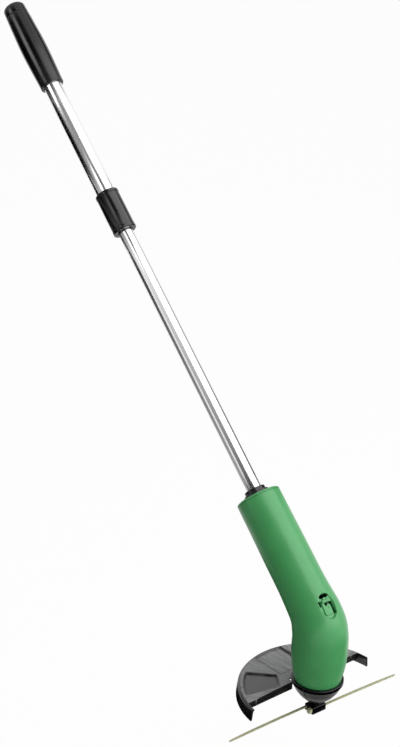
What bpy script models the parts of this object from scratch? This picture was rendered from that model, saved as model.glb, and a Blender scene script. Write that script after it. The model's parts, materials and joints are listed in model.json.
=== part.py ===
"""Cordless string trimmer with a telescopic pole and nylon strip cutters.

Run it with: blender --background --python part.py

World frame, metres: the origin is the middle of the hand grip on the pole's axis, +Z points up, and
the pole runs down from the grip towards +Y. The head's spin axis is vertical. Two empties carry the
pieces: head_frame stands on the spin axis at the underside of the rotor, and pole_frame sits at the
elbow of the body with its Z along the pole. Sizes below are in millimetres.
"""
import math

import bmesh
import bpy
import numpy as np
from mathutils import Matrix, Vector

MM = 0.001
MERGE = 0.00001
GAP = 0.3
SMOOTH_ANGLE = 35.0
FRAME_MARK = 0.02

# Steps round a turned piece
COARSE = 12
MEDIUM = 16
FINE = 24
ROUND = 32
GUARD_STEPS = 64

# Pole: distances run along its axis from the elbow point, where it meets the spin axis
LEAN_DEG = 46.5
GRIP_MIDDLE = 832.0
POLE_BOTTOM = 121.0
LOWER_TUBE_R = 9.6
LOWER_TUBE_TOP = 594.5
UPPER_TUBE_R = 12.1
UPPER_TUBE_BOTTOM = 551.5
UPPER_TUBE_TOP = 874.5
TUBE_WALL = 1.1
PLUG_HEAD = 10.0
PLUG_STEM = 18.0
PLUG_PLAY = 0.25
COLLET_SPAN = (554.5, 586.5)
COLLET_PLAY = 0.15
FERRULE_R = 13.2
FERRULE_SPAN = (558.5, 594.5)

# Twist collar: a plain barrel with a bead at each end and an inner lip at each end
COLLAR_BOTTOM = 543.5
COLLAR_TOP = 600.5
COLLAR_R = 15.1
COLLAR_BEAD = 0.35
COLLAR_BEAD_LENGTH = 4.0
COLLAR_LOW_LIP = 7.0
COLLAR_HIGH_LIP = 5.0
COLLAR_PLAY = 0.4

# Grip: radius against distance along the pole, from its top end down
GRIP_STATIONS = (882.0, 875.0, 857.5, 841.0, 824.5, 805.5, 788.0, 774.5, 770.0, 768.5)
GRIP_RADII = (15.2, 15.6, 16.3, 17.0, 17.2, 16.8, 16.2, 15.7, 15.5, 15.0)
CAP_TOP = 897.0
CAP_FACE_R = 8.9
CAP_ROUND = 5.0
CAP_RIM_R = 15.1
CAP_STEP_R = 12.0
CAP_STEM_BOTTOM = 866.0

# Head: heights above the underside of the rotor
ELBOW_HEIGHT = 119.3
BODY_BOTTOM = 46.3
BODY_TOP = 164.2
ELBOW_RADIUS = 50.0
SHELL_WALL = 2.4
SHELL_COLUMNS = 18
SHELL_PARTING_DEG = 0.4

# Radius of the body against the length along its centre line from the bottom rim
BODY_STATIONS = (0, 6, 14, 26, 60, 72, 85, 100, 118, 160, 246)
BODY_RADII = (28.2, 29.4, 31.0, 32.6, 32.8, 32.3, 30.8, 29.6, 28.6, 28.2, 27.5)
BODY_SECTIONS = (0, 3, 6, 10, 14, 20, 26, 39, 52, 59, 66, 72, 78, 85, 92, 100, 118, 180)

# Cap on top of the body, with the socket for the pole, and the stepped bush on it
BODY_CAP_TOP = 167.6
BODY_CAP_R = 27.6
BODY_CAP_ROUND = 1.2
SPIGOT_DEPTH = 6.0
SPIGOT_WALL = 2.0
SOCKET_WALL = 3.0
SOCKET_BOTTOM = 124.0
BUSH_FLANGE_R = 15.2
BUSH_FLANGE = 3.2
BUSH_NECK_R = 13.0
BUSH_HEIGHT = 6.6
BUSH_CHAMFER = 0.6

# Black cup under the body: rim, bowl outside and inside as (radius, height) points, the margin
# that the guard keeps round it, and the lug under which the guard is screwed
CUP_TOP_R = 31.2
CUP_RIM = 5.0
CUP_CURVE = ((26.2, 32.0), (21.2, 25.0), (15.2, 19.0))
CUP_HOLLOW = ((17.5, 27.0), (22.0, 33.5))
CUP_MARGIN = 0.8
CUP_BOTTOM = 15.5
CUP_BOTTOM_R = 11.2
CUP_SPIGOT_R = 25.0
CUP_SPIGOT = 5.0
CUP_SPIGOT_WALL = 2.0
BEARING_R = 4.6
BEARING_SPAN = (16.5, 23.5)
BEARING_MOUTH_R = 3.2
LUG_DEPTH = 7.0
LUG_HEIGHT = 5.0
LUG_Y = -27.5

# Motor
SHAFT_R = 1.7
SHAFT_BORE_R = 2.0
SHAFT_BOTTOM = 3.4
RUNNING_GAP = 0.08
MOTOR_R = 18.0
MOTOR_WALL = 1.0
MOTOR_BOTTOM = 55.0
MOTOR_TOP = 99.0
MOTOR_NECK_R = 5.0
BELL_HEIGHT = 6.0
BELL_SKIRT = 9.0
BELL_WALL = 3.0
ARMATURE_R = 11.4
ARMATURE_SPAN = (63.0, 84.0)
MAGNET_INNER_R = 12.2
MAGNET_SPAN = (62.0, 85.0)
MAGNET_ARC_DEG = 120.0
PLATE_R = 26.0
PLATE_THICK = 2.5

# Rotor block and the two nylon strips
ROTOR_TURN_DEG = -2.2
BLOCK_SIZE = (21.0, 15.0, 9.0)
BLOCK_NECK_R = 6.0
NECK_CLEARANCE = 1.5
STRIP_WIDTH = 3.6
STRIP_THICK = 1.2
STRIP_OFFSET = 4.8
STRIP_HEIGHT = 5.5
STRIP_REACH = 126.0
STRIP_DROOP = 2.0
STRIP_TAPER = 0.35
STRIP_HEAD = (5.0, 5.2, 5.4)
STRIP_HEAD_LIFT = 0.3
ROTOR_SCREW_R = 0.7
ROTOR_SCREW_HEAD_R = 1.6

# Guard
GUARD_R = 94.2
GUARD_EDGE_Y = -20.8
GUARD_END_Y = -9.0
GUARD_RIM_Z = 32.9
GUARD_CROWN_Z = 35.9
GUARD_CROWN_R = 34.0
GUARD_FOOT_Z = 18.4
GUARD_FOOT_R = 95.6
GUARD_WALL = 2.2
GUARD_LIP_Z = 28.0
PANEL_DEPTH = 1.6
PANEL_R = 86.0
PANEL_FROM_DEG = -54.5
PANEL_TO_DEG = -24.5
PANEL_FRONT = (38.5, -25.0)
PANEL_INNER = (26.2, -43.5)
CHANNEL_HALF = 20.0
CHANNEL_R = 91.0
CHANNEL_FRONT_Y = -42.0
WINDOW_XS = (-16.0, 16.0)
WINDOW_WIDTH = 8.0
WINDOW_SPAN_Y = (-28.5, -18.0)
TONGUE_WIDTH = 22.0
TONGUE_TOP = 34.0
TONGUE_THICK = 5.0
TONGUE_SPAN_Y = (-38.0, -21.0)
NOTCH_BACK_Y = -31.4
GUARD_SCREW_XS = (-6.5, 6.5)
GUARD_SCREW_Y = -28.0
GUARD_SCREW_HOLE_R = 1.5

# Battery pack: four round cells in a two by two bundle, along the pole axis
CELL_R = 7.1
CELL_LENGTH = 50.0
CELL_NUB = 1.2
CELL_NUB_R = 2.6
CELL_SPREAD = 7.9
CELL_BOTTOM = 47.0
CELL_SHIFT = 1.4
CRADLE_R = 19.4
CRADLE_PLATE = 3.0
CRADLE_WEB = 1.0
CRADLE_FLOOR = 40.0
CRADLE_CEILING = 100.0
CONTACT_SIZE = (10.0, 26.0, 0.6)
CONTACT_SLOT = (28.0, 1.6, 3.0)
SPRING_WIRE_R = 0.35
SPRING_RADII = (4.4, 3.4)
COVER_FROM = 46.0
COVER_TO = 108.0
COVER_HALF_ANGLE = 30.0
COVER_HOLE_HALF = 14.6

# Shell screws: (across, along the pole) places, square to the parting face
SCREW_SPOTS = ((19.0, 136.0), (-19.0, 136.0), (19.0, 28.0), (-19.0, 28.0))
SCREW_R = 1.2
SCREW_HEAD_R = 2.7
SCREW_HEAD = 2.4
SCREW_DEPTH = 7.0
SCREW_SEAT = 11.0
SCREW_BORE_R = 1.5
SCREW_SINK_R = 3.1
BOSS_R = 3.6
BOSS_REACH = 16.0

# Switch: placed on the outside of the elbow, by the bend angle at its middle
SWITCH_ANGLE_DEG = 40.0
SWITCH_HALF_LENGTH = 15.0
SWITCH_HALF_WIDTH = 8.6
SWITCH_DEPTH = 3.2
SWITCH_PAD = 2.0
SWITCH_FLARE = 1.22
SWITCH_SLOT = (7.0, 14.0)
SLIDER_SIZE = (10.0, 12.4, 1.2)
SLIDER_MIDDLE = -3.2
RIDGE_SIZE = (10.0, 3.0, 3.0)
STEM_SIZE = (3.0, 3.0, 6.5)
STEM_MIDDLE = 1.5
SWITCH_BLOCK = (9.0, 16.0, 6.0)
SWITCH_WELL = (4.0, 9.0, 6.0)

WIRE_R = 0.7
RED_WIRE = ((6.0, 9.0, 99.6), (6.0, 10.0, 102.5), (5.0, 13.0, 109.0), (3.0, 12.0, 117.0))
BLACK_WIRE = ((-6.0, 9.0, 99.6), (-7.0, 6.0, 103.5), (-8.0, -4.0, 112.0), (-9.0, -12.0, 125.0))

LEAN = math.radians(LEAN_DEG)
ELBOW_TANGENT = ELBOW_RADIUS * math.tan(LEAN / 2.0)
UPRIGHT = ELBOW_HEIGHT - ELBOW_TANGENT - BODY_BOTTOM
BEND = ELBOW_RADIUS * LEAN


def clear_scene():
    """Remove every object that the scene holds."""
    for obj in list(bpy.data.objects):
        bpy.data.objects.remove(obj, do_unlink=True)


def make_collection(name):
    """Return a new collection linked to the scene."""
    collection = bpy.data.collections.new(name)
    bpy.context.scene.collection.children.link(collection)
    return collection


def make_material(name, colour, roughness, metallic=0.0):
    """Return a material with one Principled BSDF."""
    material = bpy.data.materials.new(name)
    material.use_nodes = True
    shader = material.node_tree.nodes["Principled BSDF"]
    shader.inputs["Base Color"].default_value = (*colour, 1.0)
    shader.inputs["Roughness"].default_value = roughness
    shader.inputs["Metallic"].default_value = metallic
    return material


def make_frame(name, location, rotation, collection, parent=None):
    """Return an empty at a place, turned by Euler angles."""
    empty = bpy.data.objects.new(name, None)
    empty.parent = parent
    empty.location = location
    empty.rotation_euler = rotation
    empty.empty_display_size = FRAME_MARK
    collection.objects.link(empty)
    return empty


clear_scene()
PARTS = make_collection("string_trimmer")
CUTTERS = make_collection("cutters")

GREEN = make_material("green_moulding", (0.075, 0.27, 0.105), 0.38)
BLACK = make_material("black_moulding", (0.012, 0.012, 0.014), 0.42)
GUARD_GREY = make_material("guard_moulding", (0.05, 0.05, 0.053), 0.5)
GRIP_BLACK = make_material("grip_sleeve", (0.012, 0.012, 0.013), 0.5)
BRIGHT = make_material("bright_tube", (0.72, 0.72, 0.73), 0.16, 1.0)
STEEL = make_material("steel", (0.45, 0.45, 0.46), 0.35, 1.0)
MAGNET = make_material("magnet", (0.08, 0.08, 0.085), 0.6)
BRASS = make_material("brass", (0.6, 0.45, 0.2), 0.3, 1.0)
COPPER = make_material("copper_winding", (0.6, 0.25, 0.1), 0.4, 1.0)
NYLON = make_material("nylon_strip", (0.72, 0.72, 0.5), 0.4)
CELL_SLEEVE = make_material("cell_sleeve", (0.03, 0.06, 0.2), 0.4)
WHITE = make_material("white_plastic", (0.6, 0.6, 0.58), 0.5)
RED = make_material("red_wire", (0.4, 0.02, 0.02), 0.5)

POLE_AXIS = Vector((0.0, -math.sin(LEAN), math.cos(LEAN)))
ELBOW_POINT = POLE_AXIS * (-GRIP_MIDDLE * MM)
HEAD_POINT = ELBOW_POINT - Vector((0.0, 0.0, ELBOW_HEIGHT * MM))
HEAD = make_frame("head_frame", HEAD_POINT, (0.0, 0.0, 0.0), PARTS)
POLE = make_frame("pole_frame", ELBOW_POINT, (LEAN, 0.0, 0.0), PARTS)


def add_object(name, data, parent, material, collection=PARTS):
    """Link a mesh or a curve as an object under a parent frame."""
    obj = bpy.data.objects.new(name, data)
    obj.parent = parent
    collection.objects.link(obj)
    if material is not None:
        data.materials.append(material)
    if collection is CUTTERS:
        obj.hide_render = True
        obj.display_type = "WIRE"
    return obj


def smooth(obj):
    """Shade a round piece smooth and keep its real edges sharp."""
    obj.data.shade_smooth()
    obj.data.set_sharp_from_angle(angle=math.radians(SMOOTH_ANGLE))


def place(obj, offset, turn_deg=0.0, axis="X"):
    """Move an object inside its parent frame by an offset in millimetres, and turn it."""
    obj.location = Vector(offset) * MM
    obj.rotation_euler = Matrix.Rotation(math.radians(turn_deg), 3, axis).to_euler()


def combine(obj, other, operation):
    """Join or cut an object with another by a Boolean."""
    modifier = obj.modifiers.new(operation.lower() + "_" + other.name, "BOOLEAN")
    modifier.operation = operation
    modifier.object = other


def turned(name, profile, parent, material, steps=ROUND, closed=True, collection=PARTS):
    """Turn a profile of (radius, height) points about the parent's Z axis.

    The points run down the outer side, so a closed ring starts at its inner top corner.
    """
    mesh = bpy.data.meshes.new(name)
    points = [(r * MM, 0.0, z * MM) for r, z in profile]
    edges = [(i, i + 1) for i in range(len(points) - 1)]
    if closed:
        edges.append((len(points) - 1, 0))
    mesh.from_pydata(points, edges, [])
    obj = add_object(name, mesh, parent, material, collection)
    screw = obj.modifiers.new("turn", "SCREW")
    screw.axis = "Z"
    screw.steps = steps
    screw.render_steps = steps
    screw.use_merge_vertices = True
    screw.merge_threshold = MERGE
    screw.use_smooth_shade = True
    return obj


def ring(name, inner, outer, span, parent, material, steps=ROUND, edge=0.4):
    """Turn a plain ring or bush between two heights, with small chamfers outside."""
    low, high = span
    profile = [(inner, high), (outer - edge, high), (outer, high - edge), (outer, low + edge),
               (outer - edge, low), (inner, low)]
    return turned(name, profile, parent, material, steps)


def round_bar(name, radius, span, parent, material=None, steps=FINE, edge=0.3, collection=PARTS):
    """Turn a solid bar between two heights, with chamfered ends if edge is set."""
    low, high = span
    profile = [(0.0, high), (radius, high), (radius, low), (0.0, low)]
    if edge > 0.0:
        profile = [(0.0, high), (radius - edge, high), (radius, high - edge), (radius, low + edge),
                   (radius - edge, low), (0.0, low)]
    return turned(name, profile, parent, material, steps, closed=False, collection=collection)


def drill(name, radius, span, parent, steps=COARSE):
    """Return a plain round cutter between two heights."""
    return round_bar(name, radius, span, parent, steps=steps, edge=0.0, collection=CUTTERS)


def screw_with_head(name, head_r, head, shank_r, tip, parent):
    """Turn a screw: head is its (under, outer) face heights, and tip is the height of its point."""
    under, outer = head
    profile = [(0.0, outer), (head_r, outer), (head_r, under), (shank_r, under), (shank_r, tip), (0.0, tip)]
    if outer < under:
        profile.reverse()
    return turned(name, profile, parent, STEEL, steps=COARSE, closed=False)


def arc_points(centre, radius, start_deg, end_deg, count):
    """Return points on an arc about a centre, angles measured from the first axis to the second."""
    angles = np.radians(np.linspace(start_deg, end_deg, count))
    return [(centre[0] + radius * math.cos(a), centre[1] + radius * math.sin(a)) for a in angles]


def block(name, size, centre, parent, material=None, bevel=0.0, collection=PARTS):
    """Make a box of the given size about a centre, with chamfered edges if bevel is set."""
    mesh = bpy.data.meshes.new(name)
    cage = bmesh.new()
    bmesh.ops.create_cube(cage, size=1.0)
    bmesh.ops.scale(cage, vec=Vector(size) * MM, verts=cage.verts)
    bmesh.ops.translate(cage, vec=Vector(centre) * MM, verts=cage.verts)
    cage.to_mesh(mesh)
    cage.free()
    obj = add_object(name, mesh, parent, material, collection)
    if bevel > 0.0:
        rounding = obj.modifiers.new("rounding", "BEVEL")
        rounding.width = bevel * MM
        rounding.segments = 1
        rounding.limit_method = "ANGLE"
    return obj


def cutter_block(name, size, centre, parent, bevel=0.0):
    """Return a box that cuts or joins another piece."""
    return block(name, size, centre, parent, bevel=bevel, collection=CUTTERS)


def prism(name, outline, low, high, parent, flare=1.0):
    """Return a prism for cutting, on an outline of (x, y) points, its top widened by flare."""
    count = len(outline)
    mesh = bpy.data.meshes.new(name)
    cage = bmesh.new()
    lower = [cage.verts.new((x * MM, y * MM, low * MM)) for x, y in outline]
    upper = [cage.verts.new((x * flare * MM, y * flare * MM, high * MM)) for x, y in outline]
    cage.faces.new(lower[::-1])
    cage.faces.new(upper)
    for i in range(count):
        j = (i + 1) % count
        cage.faces.new((lower[i], lower[j], upper[j], upper[i]))
    bmesh.ops.recalc_face_normals(cage, faces=cage.faces)
    cage.to_mesh(mesh)
    cage.free()
    return add_object(name, mesh, parent, None, CUTTERS)


def oval(half_width, half_length, count=28):
    """Return the points of an oval outline."""
    angles = np.linspace(0.0, 2.0 * math.pi, count, endpoint=False)
    return [(half_width * math.cos(a), half_length * math.sin(a)) for a in angles]


def tube_curve(name, points, radius, parent, material, resolution=1):
    """Run a round wire through its points as one capped tube."""
    curve = bpy.data.curves.new(name, "CURVE")
    curve.dimensions = "3D"
    curve.bevel_depth = radius * MM
    curve.bevel_resolution = resolution
    curve.use_fill_caps = True
    spline = curve.splines.new("POLY")
    spline.points.add(len(points) - 1)
    for point, spot in zip(spline.points, points):
        point.co = (*(Vector(spot) * MM), 1.0)
    return add_object(name, curve, parent, material)


def body_station(length):
    """Return the centre (y, z), the bend angle and the radius of the body at a length from its rim."""
    angle = min(max((length - UPRIGHT) / ELBOW_RADIUS, 0.0), LEAN)
    rest = max(length - UPRIGHT - BEND, 0.0)
    y = -ELBOW_RADIUS * (1.0 - math.cos(angle)) - rest * math.sin(LEAN)
    z = BODY_BOTTOM + min(length, UPRIGHT) + ELBOW_RADIUS * math.sin(angle) + rest * math.cos(LEAN)
    return y, z, angle, float(np.interp(length, BODY_STATIONS, BODY_RADII))


def station_on_pole(distance):
    """Return the body length that lies at a distance from the elbow point along the pole."""
    return UPRIGHT + BEND + distance - ELBOW_TANGENT


def body_shell(name, lengths, start_deg, end_deg, columns):
    """Loft a curved wall along the body between two angles, seen along the centre line.

    Angle 0 points to +X and 90 to the outside of the elbow. Each section is a C-shaped strip, and
    the sections change in radius and turn through the elbow.
    """
    angles = np.radians(np.linspace(start_deg, end_deg, columns + 1))
    mesh = bpy.data.meshes.new(name)
    cage = bmesh.new()
    rows = []
    for length in lengths:
        y, z, bend, radius = body_station(length)
        row = []
        for r in (radius, radius - SHELL_WALL):
            xs = r * np.cos(angles)
            ys = y + r * np.sin(angles) * math.cos(bend)
            zs = z + r * np.sin(angles) * math.sin(bend)
            row.append([cage.verts.new((a * MM, b * MM, c * MM)) for a, b, c in zip(xs, ys, zs)])
        rows.append(row)
    for (outer_a, inner_a), (outer_b, inner_b) in zip(rows, rows[1:]):
        for i in range(columns):
            cage.faces.new((outer_a[i], outer_a[i + 1], outer_b[i + 1], outer_b[i]))
            cage.faces.new((inner_a[i + 1], inner_a[i], inner_b[i], inner_b[i + 1]))
        cage.faces.new((outer_a[0], outer_b[0], inner_b[0], inner_a[0]))
        cage.faces.new((outer_b[-1], outer_a[-1], inner_a[-1], inner_b[-1]))
    for (outer, inner), turn in ((rows[0], 1), (rows[-1], -1)):
        for i in range(columns):
            corners = (outer[i + 1], outer[i], inner[i], inner[i + 1])
            cage.faces.new(corners[::turn])
    cage.to_mesh(mesh)
    cage.free()
    shell = add_object(name, mesh, HEAD, GREEN)
    smooth(shell)
    return shell


def half_body_lengths():
    """Return the lengths along the body at which the sections of a half shell stand."""
    return list(BODY_SECTIONS) + [station_on_pole(BODY_TOP)]


# Pole, collar and grip

def make_pole():
    """Make the two tubes, and the plug, collet and ferrule of the lock between them."""
    upper_bore = UPPER_TUBE_R - TUBE_WALL
    ring("upper_tube", upper_bore, UPPER_TUBE_R, (UPPER_TUBE_BOTTOM, UPPER_TUBE_TOP), POLE, BRIGHT, edge=0.2)
    ring("lower_tube", LOWER_TUBE_R - TUBE_WALL, LOWER_TUBE_R, (POLE_BOTTOM, LOWER_TUBE_TOP), POLE, BRIGHT,
         edge=0.2)
    stem = LOWER_TUBE_R - TUBE_WALL - GAP
    head = upper_bore - PLUG_PLAY
    seat = LOWER_TUBE_TOP + GAP
    top = LOWER_TUBE_TOP + PLUG_HEAD
    plug = [(0.0, top), (head - 1.0, top), (head, top - 1.0), (head, seat), (stem, seat),
            (stem, LOWER_TUBE_TOP - PLUG_STEM), (0.0, LOWER_TUBE_TOP - PLUG_STEM)]
    turned("slide_plug", plug, POLE, BLACK, closed=False)
    ring("locking_collet", LOWER_TUBE_R + COLLET_PLAY, upper_bore - GAP, COLLET_SPAN, POLE, WHITE)
    ring("threaded_ferrule", UPPER_TUBE_R + GAP, FERRULE_R, FERRULE_SPAN, POLE, BLACK)


def make_collar():
    """Make the twist collar, trapped on the ferrule by a lip at each end."""
    bore = FERRULE_R + GAP
    top_bore = UPPER_TUBE_R + COLLAR_PLAY
    low_bore = LOWER_TUBE_R + COLLAR_PLAY
    bead = COLLAR_R + COLLAR_BEAD
    low_lip = COLLAR_BOTTOM + COLLAR_LOW_LIP
    high_lip = COLLAR_TOP - COLLAR_HIGH_LIP
    top_bead = arc_points((bead - 1.2, COLLAR_TOP - 1.2), 1.2, 90.0, 0.0, 3)
    low_bead = arc_points((bead - 1.2, COLLAR_BOTTOM + 1.2), 1.2, 0.0, -90.0, 3)
    barrel = [(COLLAR_R, COLLAR_TOP - COLLAR_BEAD_LENGTH), (COLLAR_R, COLLAR_BOTTOM + COLLAR_BEAD_LENGTH)]
    inside = [(low_bore, COLLAR_BOTTOM), (low_bore, low_lip), (bore, low_lip), (bore, high_lip),
              (top_bore, high_lip)]
    turned("twist_collar", [(top_bore, COLLAR_TOP)] + top_bead + barrel + low_bead + inside, POLE, BLACK)


def make_grip():
    """Make the swelling grip sleeve and the plug that closes its end."""
    bore = UPPER_TUBE_R + GAP
    outer = list(zip(GRIP_RADII, GRIP_STATIONS))
    sleeve = [(bore, GRIP_STATIONS[0])] + outer + [(bore, GRIP_STATIONS[-1])]
    turned("grip_sleeve", sleeve, POLE, GRIP_BLACK)
    stem = UPPER_TUBE_R - TUBE_WALL - GAP
    seat = UPPER_TUBE_TOP + GAP
    face = GRIP_STATIONS[0] + GAP
    shoulder = arc_points((CAP_FACE_R, CAP_TOP - CAP_ROUND), CAP_ROUND, 90.0, 12.0, 6)
    cap = [(0.0, CAP_TOP)] + shoulder + [(CAP_RIM_R, face + CAP_ROUND), (CAP_RIM_R, face), (CAP_STEP_R, face),
                                         (CAP_STEP_R, seat), (stem, seat), (stem, CAP_STEM_BOTTOM),
                                         (0.0, CAP_STEM_BOTTOM)]
    turned("grip_end_cap", cap, POLE, BLACK, closed=False)


# Green body

def switch_frame():
    """Return the empty at the middle of the switch, Z out of the body and Y up along the elbow."""
    y, z, bend, radius = body_station(UPRIGHT + ELBOW_RADIUS * math.radians(SWITCH_ANGLE_DEG))
    outwards = Vector((0.0, math.cos(bend), math.sin(bend)))
    upwards = Vector((0.0, -math.sin(bend), math.cos(bend)))
    turn = Matrix((upwards.cross(outwards), upwards, outwards)).transposed().to_euler()
    return make_frame("switch_frame", (Vector((0.0, y, z)) + radius * outwards) * MM, turn, PARTS, HEAD)


def cut_boss(shell, label, spot, reach, bore):
    """Add a screw boss inside a shell and bore it; heights run from the parting face to the front."""
    boss = round_bar(f"boss_{label}", BOSS_R, reach, POLE, steps=MEDIUM, edge=0.0, collection=CUTTERS)
    hole = drill(f"bore_{label}", SCREW_BORE_R, bore, POLE)
    for piece, operation in ((boss, "UNION"), (hole, "DIFFERENCE")):
        place(piece, (spot[0], 0.0, spot[1]), 90.0)
        combine(shell, piece, operation)


def make_rear_shell(switch):
    """Make the shell half outside the elbow, with the switch recess sunk into a thicker pad."""
    shell = body_shell("body_rear_shell", half_body_lengths(), SHELL_PARTING_DEG, 180.0 - SHELL_PARTING_DEG,
                       SHELL_COLUMNS)
    pad = prism("switch_pad", oval(SWITCH_HALF_WIDTH + SWITCH_PAD, SWITCH_HALF_LENGTH + SWITCH_PAD),
                -SWITCH_DEPTH - 3.0, -1.6, switch)
    floor = oval(SWITCH_HALF_WIDTH * 0.86, SWITCH_HALF_LENGTH * 0.92)
    recess = prism("switch_recess", floor, -SWITCH_DEPTH, 2.0, switch, SWITCH_FLARE)
    slot = cutter_block("switch_slot", (*SWITCH_SLOT, 12.0), (0.0, STEM_MIDDLE, -4.0), switch)
    combine(shell, pad, "UNION")
    combine(shell, recess, "DIFFERENCE")
    combine(shell, slot, "DIFFERENCE")
    for i, spot in enumerate(SCREW_SPOTS):
        cut_boss(shell, f"rear_{i + 1}", spot, (-BOSS_REACH, -GAP), (-SCREW_DEPTH - 1.0, 2.0))


def make_front_shell():
    """Make the shell half inside the elbow, with the opening of the battery bay."""
    shell = body_shell("body_front_shell", half_body_lengths(), 180.0 + SHELL_PARTING_DEG,
                       360.0 - SHELL_PARTING_DEG, SHELL_COLUMNS)
    middle = (COVER_FROM + COVER_TO) / 2.0
    hole = cutter_block("bay_hole", (2.0 * COVER_HOLE_HALF, 20.0, COVER_TO - COVER_FROM),
                        (0.0, -BODY_RADII[-1] + 1.0, middle), POLE)
    combine(shell, hole, "DIFFERENCE")
    for i, spot in enumerate(SCREW_SPOTS):
        cut_boss(shell, f"front_{i + 1}", spot, (GAP, BOSS_REACH), (-2.0, 30.0))
        sink = drill(f"sink_{i + 1}", SCREW_SINK_R, (SCREW_SEAT, 40.0), POLE, MEDIUM)
        place(sink, (spot[0], 0.0, spot[1]), 90.0)
        combine(shell, sink, "DIFFERENCE")


def make_shell_screws():
    """Make the four screws that clamp the halves, heads sunk into the inside of the elbow."""
    seat = SCREW_SEAT + GAP
    for i, (x, z) in enumerate(SCREW_SPOTS):
        screw = screw_with_head(f"shell_screw_{i + 1}", SCREW_HEAD_R, (seat, seat + SCREW_HEAD), SCREW_R,
                                -SCREW_DEPTH, POLE)
        place(screw, (x, 0.0, z), 90.0)


def make_body_ends():
    """Make the cap on top of the body, its socket for the pole, and the stepped bush."""
    seat = BODY_TOP + GAP
    spigot_r = BODY_RADII[-1] - SHELL_WALL - GAP
    spigot_bore = spigot_r - SPIGOT_WALL
    spigot_end = seat - SPIGOT_DEPTH
    socket_r = LOWER_TUBE_R + SOCKET_WALL
    bore = LOWER_TUBE_R + GAP
    rim_centre = (BODY_CAP_R - BODY_CAP_ROUND, BODY_CAP_TOP - BODY_CAP_ROUND)
    rim = arc_points(rim_centre, BODY_CAP_ROUND, 90.0, 0.0, 4)
    cap = [(bore, BODY_CAP_TOP)] + rim + [(BODY_CAP_R, seat), (spigot_r, seat), (spigot_r, spigot_end),
                                          (spigot_bore, spigot_end), (spigot_bore, seat), (socket_r, seat),
                                          (socket_r, SOCKET_BOTTOM), (bore, SOCKET_BOTTOM)]
    turned("body_top_cap", cap, POLE, GREEN)
    low = BODY_CAP_TOP + GAP
    high = low + BUSH_HEIGHT
    step = low + BUSH_FLANGE
    bush = [(bore, high), (BUSH_NECK_R - BUSH_CHAMFER, high), (BUSH_NECK_R, high - BUSH_CHAMFER),
            (BUSH_NECK_R, step), (BUSH_FLANGE_R - BUSH_CHAMFER, step), (BUSH_FLANGE_R, step - BUSH_CHAMFER),
            (BUSH_FLANGE_R, low), (bore, low)]
    turned("pole_bush", bush, POLE, BLACK)


def make_battery_cover():
    """Make the cover that closes the battery bay on the inside of the elbow."""
    low = station_on_pole(COVER_FROM + GAP)
    high = station_on_pole(COVER_TO - GAP)
    body_shell("battery_cover", [low, (low + high) / 2.0, high], 270.0 - COVER_HALF_ANGLE,
               270.0 + COVER_HALF_ANGLE, 8)


# Battery pack

def make_cradle():
    """Make the cradle: two round plates joined by crossed webs, slotted for the contact bars."""
    cradle = round_bar("battery_cradle", CRADLE_R, (CRADLE_FLOOR - CRADLE_PLATE, CRADLE_FLOOR), POLE, BLACK)
    lid = round_bar("cradle_top", CRADLE_R, (CRADLE_CEILING, CRADLE_CEILING + CRADLE_PLATE), POLE,
                    collection=CUTTERS)
    middle = (CRADLE_FLOOR + CRADLE_CEILING) / 2.0
    height = CRADLE_CEILING - CRADLE_FLOOR + 2.0
    reach = 2.0 * CRADLE_R - 2.8
    web_x = cutter_block("cradle_web_x", (reach, CRADLE_WEB, height), (0.0, 0.0, middle), POLE)
    web_y = cutter_block("cradle_web_y", (CRADLE_WEB, reach, height), (0.0, 0.0, middle), POLE)
    for piece in (lid, web_x, web_y):
        combine(cradle, piece, "UNION")
    lift = CONTACT_SIZE[2]
    for end, height in (("lower", CRADLE_FLOOR + lift), ("upper", CRADLE_CEILING - lift)):
        slot = cutter_block(f"{end}_slot", CONTACT_SLOT, (0.0, 0.0, height), POLE)
        combine(cradle, slot, "DIFFERENCE")
        for side, a in (("left", 1), ("right", -1)):
            block(f"{end}_contact_{side}", CONTACT_SIZE, (a * CELL_SPREAD, 0.0, height), POLE, BRASS)


def make_cell(name, x, y, turn):
    """Make one cell with its nub up, or down when turn is negative."""
    low = CELL_BOTTOM if turn > 0 else CELL_BOTTOM + CELL_SHIFT
    top = low + CELL_LENGTH - CELL_SHIFT
    profile = [(0.0, top + CELL_NUB), (CELL_NUB_R, top + CELL_NUB), (CELL_NUB_R, top), (CELL_R - 0.5, top),
               (CELL_R, top - 0.5), (CELL_R, low + 0.5), (CELL_R - 0.5, low), (0.0, low)]
    cell = turned(name, profile, POLE, CELL_SLEEVE, steps=MEDIUM, closed=False)
    if turn > 0:
        place(cell, (x, y, 0.0))
    else:
        place(cell, (x, y, 2.0 * CELL_BOTTOM + CELL_LENGTH), 180.0)


def make_spring(name, x, y, low, high):
    """Wind a short conical compression spring as one tube."""
    turns = 2.5 if high - low > 4.0 else 0.7
    steps = np.linspace(0.0, 1.0, int(turns * COARSE) + 1)
    angles = 2.0 * math.pi * turns * steps
    radii = SPRING_RADII[0] + (SPRING_RADII[1] - SPRING_RADII[0]) * steps
    heights = low + SPRING_WIRE_R + (high - low - 2.0 * SPRING_WIRE_R) * steps
    points = [(x + r * math.cos(a), y + r * math.sin(a), h) for r, a, h in zip(radii, angles, heights)]
    tube_curve(name, points, SPRING_WIRE_R, POLE, STEEL, resolution=0)


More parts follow.
